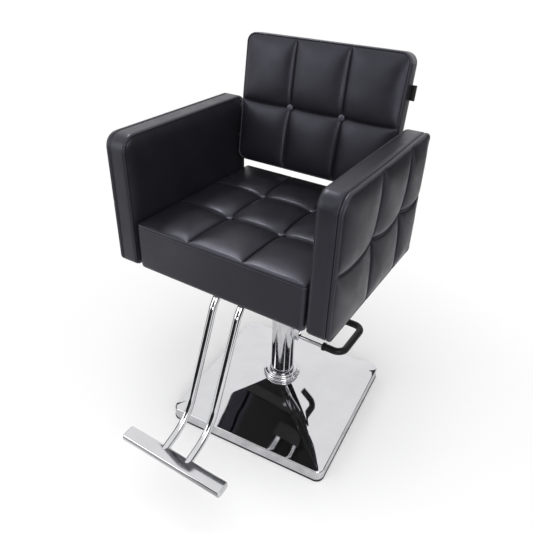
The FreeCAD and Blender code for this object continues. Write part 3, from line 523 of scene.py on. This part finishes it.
def padded_form(panel):
    """Points and faces of a closed form: tufted front, sides in rings, plain rear; and its rim."""
    u_lines, v_lines = fine_lines(panel.u_marks), fine_lines(panel.v_marks)
    grid_u, grid_v = np.meshgrid(u_lines, v_lines, indexing="ij")
    u, v, out_u, out_v = round_corners(grid_u, grid_v, panel.rect, panel.radii)
    front = finished_front(panel, u, v, u_lines, v_lines)
    index = np.arange(u.size).reshape(u.shape)
    rim = np.concatenate([index[:-1, 0], index[-1, :-1], index[:0:-1, -1], index[0, :0:-1]])
    at = np.stack([u.ravel()[rim], v.ravel()[rim]], axis=-1)
    out = np.stack([out_u.ravel()[rim], out_v.ravel()[rim]], axis=-1)
    lifted = front.ravel()[rim] - panel.edge
    layers = [np.stack([u, v - hanging(u, v, panel), front], axis=-1).reshape(-1, 3)]
    rings = [rim]
    total = u.size
    for offset, drop in panel.sides:
        height = panel.edge + drop + lifted * math.exp(min(drop, 0.0) / SIDE_FADE)
        layers.append(np.column_stack([at + out * offset, height]))
        rings.append(total + np.arange(len(rim)))
        total += len(rim)
    u_low, v_low, u_high, v_high = panel.rect
    bow = arch((2 * u - u_low - u_high) / (u_high - u_low), 4.0, 1.0)
    bow = bow * arch((2 * v - v_low - v_high) / (v_high - v_low), 4.0, 1.0)
    inward = np.minimum.reduce([grid_u - u_low, u_high - grid_u, grid_v - v_low, v_high - grid_v])
    fall = panel.rear_round * (1.0 - np.minimum(inward / REAR_REACH, 1.0)) ** 2
    layers.append(np.stack([u, v, panel.rear - panel.rear_crown * bow + fall], axis=-1).reshape(-1, 3))
    rings.append(total + rim)
    faces = [grid_quads(index)]
    for upper, lower in zip(rings, rings[1:]):
        faces.append(np.stack([upper, lower, np.roll(lower, -1), np.roll(upper, -1)], axis=-1))
    faces.append((total + grid_quads(index))[:, ::-1])
    return np.concatenate(layers), np.concatenate(faces), (at, out)


def upholster(panel, form, to_chair, nodes, mirrored=False):
    """The padded piece that stands for its CAD nodes."""
    points, faces, _ = form
    piece = mesh_piece(panel.name, to_chair(points), faces[:, ::-1] if mirrored else faces,
                       leather, "seat", "upholstery")
    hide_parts(*nodes)


STITCH_PITCH = 4.2
STITCH_LENGTH = 3.1
STITCH_RADIUS = 0.45
STITCH_SIDES = 6
# Along a stitch: the share of its length, the share of its radius, and its rise in radii
STITCH_STATIONS = ((0.0, 0.25, -0.35), (0.18, 0.85, 0.25), (0.5, 1.0, 0.25), (0.82, 0.85, 0.25),
                   (1.0, 0.25, -0.35))


def stitch_row(name, path, out, to_chair):
    """A row of thread stitches along a closed path, lying on the surface."""
    path = np.concatenate([path, path[:1]])
    out = np.concatenate([out, out[:1]])
    run = np.concatenate([[0.0], np.cumsum(np.linalg.norm(np.diff(path, axis=0), axis=1))])
    count = int(run[-1] / STITCH_PITCH)

    def read(rows, places):
        return np.stack([np.interp(places % run[-1], run, column) for column in rows.T], axis=-1)

    starts = np.arange(count) * run[-1] / count
    turns = np.arange(STITCH_SIDES) * 2 * math.pi / STITCH_SIDES
    rings = []
    for share, fat, rise in STITCH_STATIONS:
        places = starts + share * STITCH_LENGTH
        centre, outward = read(path, places), read(out, places)
        ahead = read(path, places + 0.5) - centre
        side = np.cross(ahead / np.linalg.norm(ahead, axis=1)[:, None], outward)
        lift = (rise + fat * np.cos(turns)) * STITCH_RADIUS
        sway = fat * np.sin(turns) * STITCH_RADIUS
        ring = centre[:, None] + outward[:, None] * lift[None, :, None]
        rings.append(ring + side[:, None] * sway[None, :, None])
    stitches = np.stack(rings, axis=1)
    faces = []
    for number, stitch in enumerate(stitches):
        first = number * len(STITCH_STATIONS) * STITCH_SIDES
        faces += [[first + corner for corner in face] for face in skin(stitch)[1]]
    mesh_piece(name, to_chair(stitches.reshape(-1, 3)), faces, thread, "seat", "leather")


# Seat

SEAT_INSET = 5.0  # from the outside to the sewn rim of the top panel
SEAT_SEAM_ACROSS = 76.0
SEAT_SEAMS_ALONG = (-175.0, -20.0)
SEAT_EDGE = 121.0
SEAT_BUTTON_FOOT = 113.6  # on the leather, down in the tuft
# Sides of a panel are steps out of its rim and down from it
SEAT_PIPING = [(0.9, -0.2), (1.9, -0.8), (2.9, -1.8), (3.6, -3.0), (3.8, -4.0), (3.2, -4.8), (2.0, -5.5)]
SEAT_SEAM = [(1.4, -6.1), (1.8, -6.8), (3.2, -7.6), (4.3, -8.5), (4.7, -9.8)]
SEAT_BOXING = [(4.8, -12.0), (4.8, -18.0), (4.8, -35.0), (4.8, -60.0), (4.8, -85.0), (4.7, -105.0)]
SEAT_HEM = [(4.4, -112.0), (3.6, -117.0), (2.2, -119.8), (0.4, -120.5)]


def build_seat():
    """The boxed seat: three by three pillows and four buttons."""
    low, high = node_box("seat_cushion")
    crossings = [(u, v) for u in (-SEAT_SEAM_ACROSS, SEAT_SEAM_ACROSS) for v in SEAT_SEAMS_ALONG]
    panel = Panel(
        "seat_upholstery",
        u_marks=(low[0] + SEAT_INSET, -SEAT_SEAM_ACROSS, SEAT_SEAM_ACROSS, high[0] - SEAT_INSET),
        v_marks=(low[1] + SEAT_INSET, *SEAT_SEAMS_ALONG, high[1] - SEAT_INSET),
        radii=(9.0, 9.0, 9.0, 9.0), edge=SEAT_EDGE, crown=7.0, rear=0.3, fill=0.75,
        tufts=crossings, tuft_depth=8.5, tuft_reach=30.0, button_sink=2.0, seam_drop=5.5, seam_round=7.0,
        sides=SEAT_PIPING + SEAT_SEAM + SEAT_BOXING + SEAT_HEM)

    def to_chair(points):
        return points + np.array([0.0, 0.0, low[2]])

    upholster(panel, padded_form(panel), to_chair, ["seat_cushion"])
    for number, (u, v) in enumerate(crossings, start=1):
        covered_button(f"seat_button_{number}", np.array([u, v, low[2] + SEAT_BUTTON_FOOT]), np.eye(3))


# Back

BACK_TILT = math.radians(8.2)
BACK_INSET = 5.0
BACK_EDGE = 13.0  # the front panel's rim, forward of the boxed cover
BACK_SEAM_ACROSS = 76.0
BACK_SEAM_RISE = 167.0
BACK_BUTTON_FOOT = 9.0
BACK_REAR_SEAM = 5.0  # forward of the boxed cover's rear
BACK_PIPING = [(0.4, -0.6), (0.9, -0.4), (1.5, 0.4), (2.4, 0.9), (3.4, 0.7), (4.2, -0.2), (4.5, -1.4),
               (4.2, -2.5), (3.2, -3.4)]
BACK_SEAM = [(2.2, -4.0), (2.2, -4.5), (3.2, -5.1), (4.4, -6.2), (4.9, -8.5)]
BACK_BOXING = [(5.0, -14.0), (5.0, -22.0), (5.0, -30.0)]
# From the boxing's end over the rear seam and its piping to the rear face, up and down from that seam
BACK_REAR = [(4.9, 4.6), (4.4, 2.6), (3.2, 1.2), (2.1, 0.4), (2.1, 0.0), (3.0, -0.5), (4.0, -1.4),
             (4.2, -2.4), (3.9, -3.4), (3.1, -4.1), (2.1, -4.3), (1.2, -3.8), (0.5, -3.2)]


def build_back():
    """The leaning back: three by two pillows, two buttons and a tab."""
    low, high = node_box("back_cover")
    sine, cosine = math.sin(BACK_TILT), math.cos(BACK_TILT)
    deep, tall = (high - low)[1], (high - low)[2]
    rise = (tall * cosine - deep * sine) / (cosine ** 2 - sine ** 2)
    depth = (deep * cosine - tall * sine) / (cosine ** 2 - sine ** 2)
    axes = np.array([[1.0, 0.0, 0.0], [0.0, sine, cosine], [0.0, -cosine, sine]])
    origin = np.array([0.0, low[1] + depth * cosine, low[2]])
    half = high[0]

    def to_chair(points):
        return points @ axes + origin

    crossings = [(-BACK_SEAM_ACROSS, BACK_SEAM_RISE), (BACK_SEAM_ACROSS, BACK_SEAM_RISE)]
    edge = depth + BACK_EDGE
    rear_seam = BACK_REAR_SEAM - edge
    panel = Panel(
        "back_upholstery",
        u_marks=(BACK_INSET - half, -BACK_SEAM_ACROSS, BACK_SEAM_ACROSS, half - BACK_INSET),
        v_marks=(BACK_INSET, BACK_SEAM_RISE, rise - BACK_INSET),
        radii=(23.0, 23.0, 23.0, 23.0), edge=edge, crown=9.0, rear=2.0, rear_crown=2.0, sag=0.12,
        tufts=crossings, tuft_depth=5.0, tuft_reach=38.0, button_sink=1.0, seam_drop=4.5, droop=2.0,
        sides=BACK_PIPING + BACK_SEAM + BACK_BOXING + [(out, rear_seam + up) for out, up in BACK_REAR])
    upholster(panel, padded_form(panel), to_chair, ["back_cover", "back_pad"])
    for number, (u, v) in enumerate(crossings, start=1):
        covered_button(f"back_button_{number}", to_chair(np.array([u, v, depth + BACK_BUTTON_FOOT])), axes)
    folded_tab(half, to_chair)


def folded_tab(half, to_chair):
    """The bare loop of webbing sewn into the back's right rear seam."""
    low_rise, high_rise, rows = 232.0, 268.0, 9
    reach, fold, thick = 11.0, 2.2, 1.1
    sewn_in, sewn_half = 3.0, 1.6  # how far the loop's ends lie inside the seam, and from its middle
    bend = arc((reach - fold, 0.0), fold, -90.0, 90.0, 13)
    line = np.array([(-sewn_in, -sewn_half), *bend, (-sewn_in, sewn_half)])
    ahead = np.gradient(line, axis=0)
    ahead /= np.linalg.norm(ahead, axis=1)[:, None]
    across = np.stack([ahead[:, 1], -ahead[:, 0]], axis=-1)
    loop = np.concatenate([line + across * thick / 2, (line - across * thick / 2)[::-1]])
    points = [(half + out, rise, BACK_REAR_SEAM - back) for rise in np.linspace(low_rise, high_rise, rows)
              for out, back in loop]
    size = len(loop)
    faces = []
    for row in range(rows - 1):
        for k in range(size):
            a, b = row * size + k, row * size + (k + 1) % size
            faces.append((a, b, b + size, a + size))
    for k in range(len(line) - 1):
        top = (rows - 1) * size
        faces.append((size - 1 - k, size - 2 - k, k + 1, k))
        faces.append((top + k, top + k + 1, top + size - 2 - k, top + size - 1 - k))
    mesh_piece("back_tab", to_chair(np.array(points)), faces, webbing, "seat", "leather")


# Arms

ARM_INSET = 6.0
ARM_SEAMS_ALONG = (-155.5, 11.5)
ARM_SEAM_RISE = 767.0
ARM_EDGE = 18.0  # the outer panel's rim, outside the boxed cover
ARM_INNER_SEAM = 8.0  # out from the inner face
ARM_STITCHES = (6.0, -12.2)  # out of the rim and down from it
ARM_PIPING = [(0.4, -0.8), (0.9, -0.6), (1.6, 0.6), (2.6, 1.5), (3.8, 1.5), (4.9, 0.6), (5.6, -0.9),
              (5.9, -3.0), (6.0, -5.2), (5.4, -6.7)]
ARM_SEAM = [(3.9, -7.7), (3.0, -8.3), (3.0, -8.9), (3.9, -9.4), (5.4, -10.2), (6.0, -11.4)]
ARM_BOXING = [(6.1, -20.0), (6.1, -30.0), (6.1, -40.0)]
# From the boxing's end over the inner seam to the inner face, up and down from that seam
ARM_INNER = [(6.0, 5.0), (5.5, 2.4), (4.3, 1.0), (3.5, 0.3), (3.5, -0.1), (4.2, -0.5), (4.3, -1.0),
             (3.4, -1.4), (1.6, -1.6)]


def build_arms():
    """Both arms from one form, with pillows outside and a smooth inside."""
    low, high = node_box("arm_right_cover")
    inner_seam = low[0] - high[0] - ARM_EDGE + ARM_INNER_SEAM
    panel = Panel(
        "arm_upholstery",
        u_marks=(low[1] + ARM_INSET, *ARM_SEAMS_ALONG, high[1] - ARM_INSET),
        v_marks=(low[2] + ARM_INSET, ARM_SEAM_RISE, high[2] - ARM_INSET),
        radii=(8.0, 18.0, 24.0, 32.0), edge=ARM_EDGE, crown=9.0, rear=low[0] - high[0] + 0.1, rear_round=6.4,
        tufts=[(along, ARM_SEAM_RISE) for along in ARM_SEAMS_ALONG], tuft_depth=7.0, tuft_reach=48.0,
        sag=0.2, droop=9.0, seam_drop=5.0,
        sides=ARM_PIPING + ARM_SEAM + ARM_BOXING + [(out, inner_seam + up) for out, up in ARM_INNER])
    form = padded_form(panel)
    at, out = form[2]
    offset, drop = ARM_STITCHES
    flat = np.zeros(len(at))
    stitch_path = np.column_stack([at + out * offset, flat + panel.edge + drop])
    stitch_out = np.column_stack([out, flat])
    for name, side in (("right", 1), ("left", -1)):
        def to_chair(points, side=side):
            return np.stack([side * (high[0] + points[:, 2]), points[:, 0], points[:, 1]], axis=-1)

        panel.name = f"arm_{name}_upholstery"
        upholster(panel, form, to_chair, [f"arm_{name}_cover", f"arm_{name}_pad"], mirrored=side < 0)
        stitch_row(f"arm_{name}_stitches", stitch_path, stitch_out, to_chair)


# Covered buttons

BUTTON_PROFILE = ((0.0, 6.4), (3.4, 6.3), (6.0, 6.0), (7.6, 5.2), (8.5, 3.8), (8.8, 2.2), (8.6, 0.9),
                  (7.6, 0.1), (0.0, 0.1))
BUTTON_SIDES = 48
GATHER_COUNT = 12
GATHER_DEPTH = 0.008  # share of the radius


def gathered_lathe(profile, sides):
    """Points and faces of a closed form turned about w from radius and height pairs, axis to axis."""
    turns = np.arange(sides) * 2 * math.pi / sides
    inner = profile[1:-1]
    points = [(0.0, 0.0, profile[0][1])]
    for radius, height in inner:
        ripple = radius * (1 + GATHER_DEPTH * np.sin(GATHER_COUNT * turns))
        across, along = ripple * np.cos(turns), ripple * np.sin(turns)
        points += np.column_stack([across, along, np.full(sides, height)]).tolist()
    points.append((0.0, 0.0, profile[-1][1]))
    faces = [(0, 1 + n, 1 + (n + 1) % sides) for n in range(sides)]
    for ring in range(len(inner) - 1):
        for n in range(sides):
            a, b = 1 + ring * sides + n, 1 + ring * sides + (n + 1) % sides
            faces.append((a, a + sides, b + sides, b))
    last = 1 + (len(inner) - 1) * sides
    faces += [(last + n, len(points) - 1, last + (n + 1) % sides) for n in range(sides)]
    return np.array(points), faces


def covered_button(node, foot, axes):
    """A domed, cloth-covered button with fine gathers."""
    points, faces = gathered_lathe(BUTTON_PROFILE, BUTTON_SIDES)
    piece = mesh_piece(f"{node}_covered", points @ axes + foot, faces, lightened_button_leather, "seat", "leather")
    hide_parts(node)


# Footrest, base and collar, finer than the CAD mesh so that reflections run smooth

def chrome_piece(node, points, faces, body, material):
    """A finer chrome mesh in the place of a CAD node."""
    piece = mesh_piece(f"{node}_polished", points, faces, material, body, "chrome")
    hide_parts(node)


def bent_line(corners, bends, steps=24):
    """Points and directions along a line that turns its corners in round bends."""
    corners = [np.array(corner) for corner in corners]
    ahead = [(b - a) / np.linalg.norm(b - a) for a, b in zip(corners, corners[1:])]
    places, ways = [corners[0]], [ahead[0]]

    def straight_to(end, way):
        for place in np.linspace(places[-1], end, steps)[1:]:
            places.append(place)
            ways.append(way)

    for corner, into, away, bend in zip(corners[1:], ahead, ahead[1:], bends):
        turn = math.acos(into @ away)
        inward = (away - into * math.cos(turn)) / math.sin(turn)
        start = corner - into * bend * math.tan(turn / 2)
        straight_to(start, into)
        for angle in np.linspace(0.0, turn, steps)[1:]:
            places.append(start + bend * (into * math.sin(angle) + inward * (1 - math.cos(angle))))
            ways.append(into * math.cos(angle) + inward * math.sin(angle))
    straight_to(corners[-1], ahead[-1])
    return places, ways


FOOTREST_LINE = ((-140.0, 585.0), (-280.0, 585.0), (-426.0, 250.0), (-519.0, 219.6))
FOOTREST_BENDS = (100.0, 130.0)
FOOT_BAR_MIDDLE = (-527.0, 217.0)
FOOT_BAR_TILT = math.radians(5.0)
FOOT_BAR_HALF_WIDTH = 20.0
FOOT_BAR_HALF_HEIGHT = 11.0
FOOT_BAR_TOP_ROUND = 7.0
FOOT_BAR_LOW_ROUND = 9.0
# From an end inwards: the way from the end, and the section's share there
FOOT_BAR_END = ((0.0, 0.70), (0.0, 0.86), (0.2, 0.92), (0.8, 0.965), (1.8, 0.99), (3.2, 1.0))
ROUND_STEPS = 14
TUBE_SIDES = 72


def foot_bar_outline():
    """The bar's section: a flat top, with tighter edges than its underside."""
    outline = []
    for side, level, radius, start in ((1, -1, FOOT_BAR_LOW_ROUND, -90), (1, 1, FOOT_BAR_TOP_ROUND, 0),
                                       (-1, 1, FOOT_BAR_TOP_ROUND, 90), (-1, -1, FOOT_BAR_LOW_ROUND, 180)):
        middle = (side * (FOOT_BAR_HALF_WIDTH - radius), level * (FOOT_BAR_HALF_HEIGHT - radius))
        outline += arc(middle, radius, start, start + 90, ROUND_STEPS)
    return np.array(outline)


def build_footrest():
    """The two bent tubes and the bar across their ends."""
    turns = np.linspace(0.0, 2 * math.pi, TUBE_SIDES, endpoint=False)
    for node in ("footrest_tube_left", "footrest_tube_right"):
        low, high = node_box(node)
        middle, radius = (low[0] + high[0]) / 2, (high[0] - low[0]) / 2
        across, out = middle + radius * np.cos(turns), radius * np.sin(turns)
        rings = [np.column_stack([across, y - way_z * out, z + way_y * out])
                 for (y, z), (way_y, way_z) in zip(*bent_line(FOOTREST_LINE, FOOTREST_BENDS))]
        chrome_piece(node, *skin(rings), "seat", looks["chrome"])

    low, high = node_box("foot_bar")
    outline = foot_bar_outline()
    sine, cosine = math.sin(FOOT_BAR_TILT), math.cos(FOOT_BAR_TILT)
    rings = []
    for end in (-1, 1):
        edge = high[0] if end > 0 else low[0]
        for back, size in FOOT_BAR_END if end < 0 else reversed(FOOT_BAR_END):
            across, up = (outline * size).T
            rings.append(np.column_stack([np.full(len(across), edge - end * back),
                                          FOOT_BAR_MIDDLE[0] + across * cosine - up * sine,
                                          FOOT_BAR_MIDDLE[1] + across * sine + up * cosine]))
    chrome_piece("foot_bar", *skin(rings), "seat", looks["chrome"])


BASE_SIDE = 514.0
BASE_CORNER = 24.0
BASE_TURN = math.radians(4.5)
COVER_FOOT = 4.0
COVER_LIP = 39.0
COVER_LIP_ROUND = 5.0
COVER_TOP = 107.0
CREST_SIDE = 96.0
CREST_CORNER = 40.0
SHEET = 2.0
COLUMN_HOLE = 37.2
CORNER_STEPS = 28
SIDE_STEPS = 40
FACE_STEPS = 33
MAT_RIM = 1.6  # how much wider than the cover it is
MAT_RIM_TOP = 5.4
MAT_TOP = 3.9
COLLAR_LIFT = 0.2  # over the cover
COLLAR_ROLL = 7.4  # the wide roll's radius
COLLAR_BEAD = 4.6  # the narrow roll's radius
COLLAR_SIDES = 144


def rounded_square(side, corner, height):
    """A level outline, turned as the base is, with as many points whatever its size."""
    straight = side / 2 - corner
    points = []
    for quarter in range(4):
        start = 90.0 * quarter + 45.0
        turn = math.radians(start)
        middle = (straight * math.sqrt(2) * math.cos(turn), straight * math.sqrt(2) * math.sin(turn))
        bend = arc(middle, corner, start - 45.0, start + 45.0, CORNER_STEPS)
        if points:
            points += np.linspace(points[-1], bend[0], SIDE_STEPS)[1:-1].tolist()
        points += bend
    points += np.linspace(points[-1], points[0], SIDE_STEPS)[1:-1].tolist()
    x, y = np.array(points).T
    sine, cosine = math.sin(BASE_TURN), math.cos(BASE_TURN)
    return np.column_stack([x * cosine - y * sine, x * sine + y * cosine, np.full(len(x), height)])


def build_base_cover():
    """The pressed cover: upright lip with a round edge, then four flat faces up to the column."""
    slope = math.atan((COVER_TOP - COVER_LIP) / ((BASE_SIDE - CREST_SIDE) / 2))
    round_height = COVER_LIP + COVER_LIP_ROUND * (math.tan(slope) - 1 / math.cos(slope))
    # Steps in from the side, and their heights
    steps = [(0.6, COVER_FOOT), (0.1, COVER_FOOT + 0.2), (0.0, COVER_FOOT + 0.8), (0.0, 14.0), (0.0, 26.0)]
    steps += [(COVER_LIP_ROUND - inset, round_height + rise) for inset, rise in
              arc((0.0, 0.0), COVER_LIP_ROUND, 0.0, 90.0 - math.degrees(slope), 12)]
    rings = [rounded_square(BASE_SIDE - 2 * inset, BASE_CORNER, height) for inset, height in steps]
    edge, crest = rings[-1], rounded_square(CREST_SIDE, CREST_CORNER, COVER_TOP)
    rings += [edge + (crest - edge) * share for share in np.linspace(0.0, 1.0, FACE_STEPS)[1:]]
    inner = 2 * COLUMN_HOLE, COLUMN_HOLE - 1.0
    rings += [rounded_square(*inner, COVER_TOP), rounded_square(*inner, COVER_TOP - SHEET),
              rounded_square(CREST_SIDE - 2 * SHEET, CREST_CORNER - SHEET, COVER_TOP - SHEET),
              rounded_square(BASE_SIDE - 2 * SHEET, BASE_CORNER - SHEET, COVER_LIP - SHEET),
              rounded_square(BASE_SIDE - 2 * SHEET, BASE_CORNER - SHEET, COVER_FOOT)]
    chrome_piece("base_cover", *skin(rings, looped=True), "base", pressed_chrome)


def build_base_mat():
    """The rubber mat, whose moulded rim stands round the foot of the cover."""
    rim = BASE_SIDE + MAT_RIM
    steps = [(rim - 1.0, 0.0), (rim, 0.6), (rim, MAT_RIM_TOP - 0.5), (rim - 0.4, MAT_RIM_TOP),
             (rim - 1.3, MAT_RIM_TOP), (rim - 1.4, MAT_TOP)]
    rings = [rounded_square(side, BASE_CORNER, height) for side, height in steps]
    piece = mesh_piece("base_mat_moulded", *skin(rings), looks["rubber"], "base", "rubber")
    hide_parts("base_mat")


def build_collar():
    """The turned trim ring round the column's foot: a wide roll with a narrow one on it."""
    low, high = node_box("collar")
    foot, top, outer = low[2], high[2], high[0]
    outline = [(COLUMN_HOLE, foot + COLLAR_LIFT), (outer - 9.0, foot + COLLAR_LIFT)]
    outline += arc((outer - 8.0, foot + COLLAR_LIFT + COLLAR_ROLL), COLLAR_ROLL, -80, 62, 24)
    outline += arc((outer - 14.0, top - 5.0), COLLAR_BEAD, -48, 115, 20)
    outline += [(outer - 19.5, top - 1.6), (COLUMN_HOLE + 0.8, top - 1.8), (COLUMN_HOLE, top - 2.6)]
    radius, height = np.array(outline).T
    turns = np.linspace(0.0, 2 * math.pi, COLLAR_SIDES, endpoint=False)
    rings = [np.column_stack([radius * math.cos(turn), radius * math.sin(turn), height]) for turn in turns]
    chrome_piece("collar", *skin(rings, looped=True), "base", looks["chrome"])


build_seat()
build_back()
build_arms()
build_footrest()
build_base_cover()
build_base_mat()
build_collar()


# Camera

def camera_from_photo():
    """The photograph's view, found from the chair's straight edges; metres and radians."""
    place = Vector((0.638856, -1.151359, 1.335408))
    yaw, pitch, roll = 0.5523, -0.5608, 0.0304
    focal_pixels, photo_pixels, sensor = 537.07, 533.0, 36.0
    forward = Vector((-math.sin(yaw) * math.cos(pitch), math.cos(yaw) * math.cos(pitch), math.sin(pitch)))
    level = Vector((math.cos(yaw), math.sin(yaw), 0.0))
    upright = level.cross(forward)
    right = level * math.cos(roll) + upright * math.sin(roll)
    up = upright * math.cos(roll) - level * math.sin(roll)
    data = bpy.data.cameras.new("camera")
    data.sensor_fit = "HORIZONTAL"
    data.sensor_width = sensor
    data.lens = sensor * focal_pixels / photo_pixels
    data.clip_start, data.clip_end = 0.05, 60.0
    camera = bpy.data.objects.new("camera", data)
    scene.collection.objects.link(camera)
    camera.matrix_world = Matrix((right, up, -forward)).transposed().to_4x4()
    camera.matrix_world.translation = place
    scene.camera = camera


camera_from_photo()


# White studio in metres: pale floor, even light from all round, soft lamps, and cards that only mirrors see

FLOOR_REACH = 20.0
FLOOR_LEVEL = -0.0003
FLOOR_FADE = (0.45, 1.05)  # from the chair's middle, to where the floor is plain white
AMBIENT = 0.70
CARD_TONES = {"black": 0.01, "grey": 0.34, "light": 0.58, "pale": 0.80}
# Name, tone, the two ends, the foot and the top
UPRIGHT_CARDS = (("front_flag", "black", (-0.95, -1.4), (1.0, -1.4), 0.20, 0.74),
                 ("room_flag", "black", (-3.0, -3.2), (3.0, -3.2), 0.70, 2.60),
                 ("side_flag", "black", (0.5, 1.3), (2.6, 1.3), 0.38, 0.95),
                 ("low_flag", "light", (0.5, 1.3), (2.6, 1.3), 0.0, 0.38),
                 ("tall_flag", "black", (1.2, 1.35), (3.4, 1.35), 0.0, 2.20),
                 ("left_flag", "black", (-1.2, -0.8), (-1.2, 0.25), 0.05, 0.80),
                 ("right_flag", "black", (1.2, -0.8), (1.2, 0.25), 0.05, 0.80),
                 ("gap_flag", "black", (-0.32, 0.25), (0.24, 0.25), 0.60, 0.86))
# Grey cards lying on the floor that only mirrors see: painted shade of the floor round the base and by the
# foot bar, in the chrome's reflections
# Name, tone, the left, right, near and far edge
FLOOR_SHADE_CARDS = (("front_card", "grey", -0.7, 0.25, -1.3, -0.62),
               ("side_card", "grey", 0.62, 2.6, 0.7, 1.3),
               ("base_card", "pale", -0.6, 0.6, -0.6, 0.6))
LEVEL_CARD_RISE = 0.003
LAMP_AIM = Vector((0.0, 0.0, 0.6))
# Name, place, size and watts
LAMPS = (("key", (2.0, -2.0, 2.0), 1.4, 21.0),
         ("fill", (-1.7, -2.5, 1.7), 1.5, 18.0),
         ("edge", (1.1, -2.3, 0.9), 0.5, 7.0),
         ("top", (0.25, -0.75, 3.0), 1.8, 22.0),
         ("crease", (-1.2, 0.4, 3.0), 0.4, 23.0))


def seen_directly(tree):
    """1 for what the camera, a mirror or a glass sees, and 0 for what lights a dull surface."""
    paths = tree.nodes.new("ShaderNodeLightPath").outputs
    mirrored = maths(tree, "MAXIMUM", paths["Is Glossy Ray"], paths["Is Transmission Ray"])
    return maths(tree, "MAXIMUM", paths["Is Camera Ray"], mirrored)


def build_world():
    """A surround that looks white and lights the chair a little less than that."""
    world = bpy.data.worlds.new("studio")
    scene.world = world
    world.use_nodes = True
    tree = world.node_tree
    ambient = tree.nodes["Background"]
    ambient.inputs["Color"].default_value = (1.0, 1.0, 1.0, 1.0)
    ambient.inputs["Strength"].default_value = AMBIENT
    white = add(tree, "ShaderNodeBackground", Color=(1.0, 1.0, 1.0, 1.0), Strength=1.0)
    blend = tree.nodes.new("ShaderNodeMixShader")
    tree.links.new(seen_directly(tree), blend.inputs["Fac"])
    tree.links.new(ambient.outputs[0], blend.inputs[1])
    tree.links.new(white.outputs[0], blend.inputs[2])
    tree.links.new(blend.outputs[0], tree.nodes["World Output"].inputs["Surface"])


def floor_material():
    """White paper that keeps the shadow near the chair and fades to plain white further out."""
    made, tree, shader = new_material("pale_floor")
    where = object_coordinates(tree)
    tone = noise(tree, where, 0.6, 2.0, 0.5)
    tree.links.new(mixed(tree, tone, shade(0.95), shade(0.97)), shader.inputs["Base Color"])
    shader.inputs["Roughness"].default_value = 0.9
    shader.inputs["Specular IOR Level"].default_value = 0.1
    white = add(tree, "ShaderNodeEmission", Color=(1.0, 1.0, 1.0, 1.0), Strength=1.0)
    distance = add(tree, "ShaderNodeVectorMath", operation="LENGTH")
    tree.links.new(where, distance.inputs[0])
    far = spread(tree, distance.outputs["Value"], 0.0, 1.0, *FLOOR_FADE)
    blend = tree.nodes.new("ShaderNodeMixShader")
    tree.links.new(maths(tree, "MULTIPLY", far, seen_directly(tree)), blend.inputs["Fac"])
    tree.links.new(shader.outputs[0], blend.inputs[1])
    tree.links.new(white.outputs[0], blend.inputs[2])
    tree.links.new(blend.outputs[0], tree.nodes["Material Output"].inputs["Surface"])
    return made


def flat_card(name, corners, material):
    """A card or floor that belongs to the studio, not to the chair."""
    mesh = bpy.data.meshes.new(name)
    mesh.from_pydata(corners, [], [(0, 1, 2, 3)])
    mesh.materials.append(material)
    card = bpy.data.objects.new(name, mesh)
    scene.collection.objects.link(card)
    return card


def leather_pieces():
    """What the crease lamp lights, so that no chrome mirrors it."""
    group = bpy.data.collections.new("leather_pieces")
    for piece in scene.objects:
        if piece.name.endswith(("_upholstery", "_covered")):
            group.objects.link(piece)
    return group


def level_corners(left, right, near, far, rise):
    """Corners of a level card, in order round it."""
    return [(left, near, rise), (right, near, rise), (right, far, rise), (left, far, rise)]


def build_cards():
    """Cards that show in reflections and nowhere else."""
    tones = {tone: coated_material(f"{tone}_card", level, 0.9, 300.0, 0.001)
             for tone, level in CARD_TONES.items()}
    cards = [(name, tone, [(*start, foot), (*end, foot), (*end, top), (*start, top)])
             for name, tone, start, end, foot, top in UPRIGHT_CARDS]
    cards += [(name, tone, level_corners(*edges, LEVEL_CARD_RISE)) for name, tone, *edges in FLOOR_SHADE_CARDS]
    for name, tone, corners in cards:
        card = flat_card(name, corners, tones[tone])
        card.visible_camera = card.visible_diffuse = card.visible_shadow = card.visible_transmission = False


def build_lamps():
    """Soft square lamps: the top one has no highlight, and the crease one lights leather alone."""
    for name, place, size, watts in LAMPS:
        lamp = bpy.data.lights.new(name, "AREA")
        lamp.shape = "SQUARE"
        lamp.size = size
        lamp.energy = watts
        holder = bpy.data.objects.new(name, lamp)
        scene.collection.objects.link(holder)
        holder.location = place
        holder.rotation_euler = (LAMP_AIM - holder.location).to_track_quat("-Z", "Y").to_euler()
        holder.visible_glossy = name != "top"
        if name == "crease":
            holder.light_linking.receiver_collection = leather_pieces()


build_world()
flat_card("floor", level_corners(-FLOOR_REACH, FLOOR_REACH, -FLOOR_REACH, FLOOR_REACH, FLOOR_LEVEL),
          floor_material())
build_cards()
build_lamps()
scene.view_settings.view_transform = "Standard"
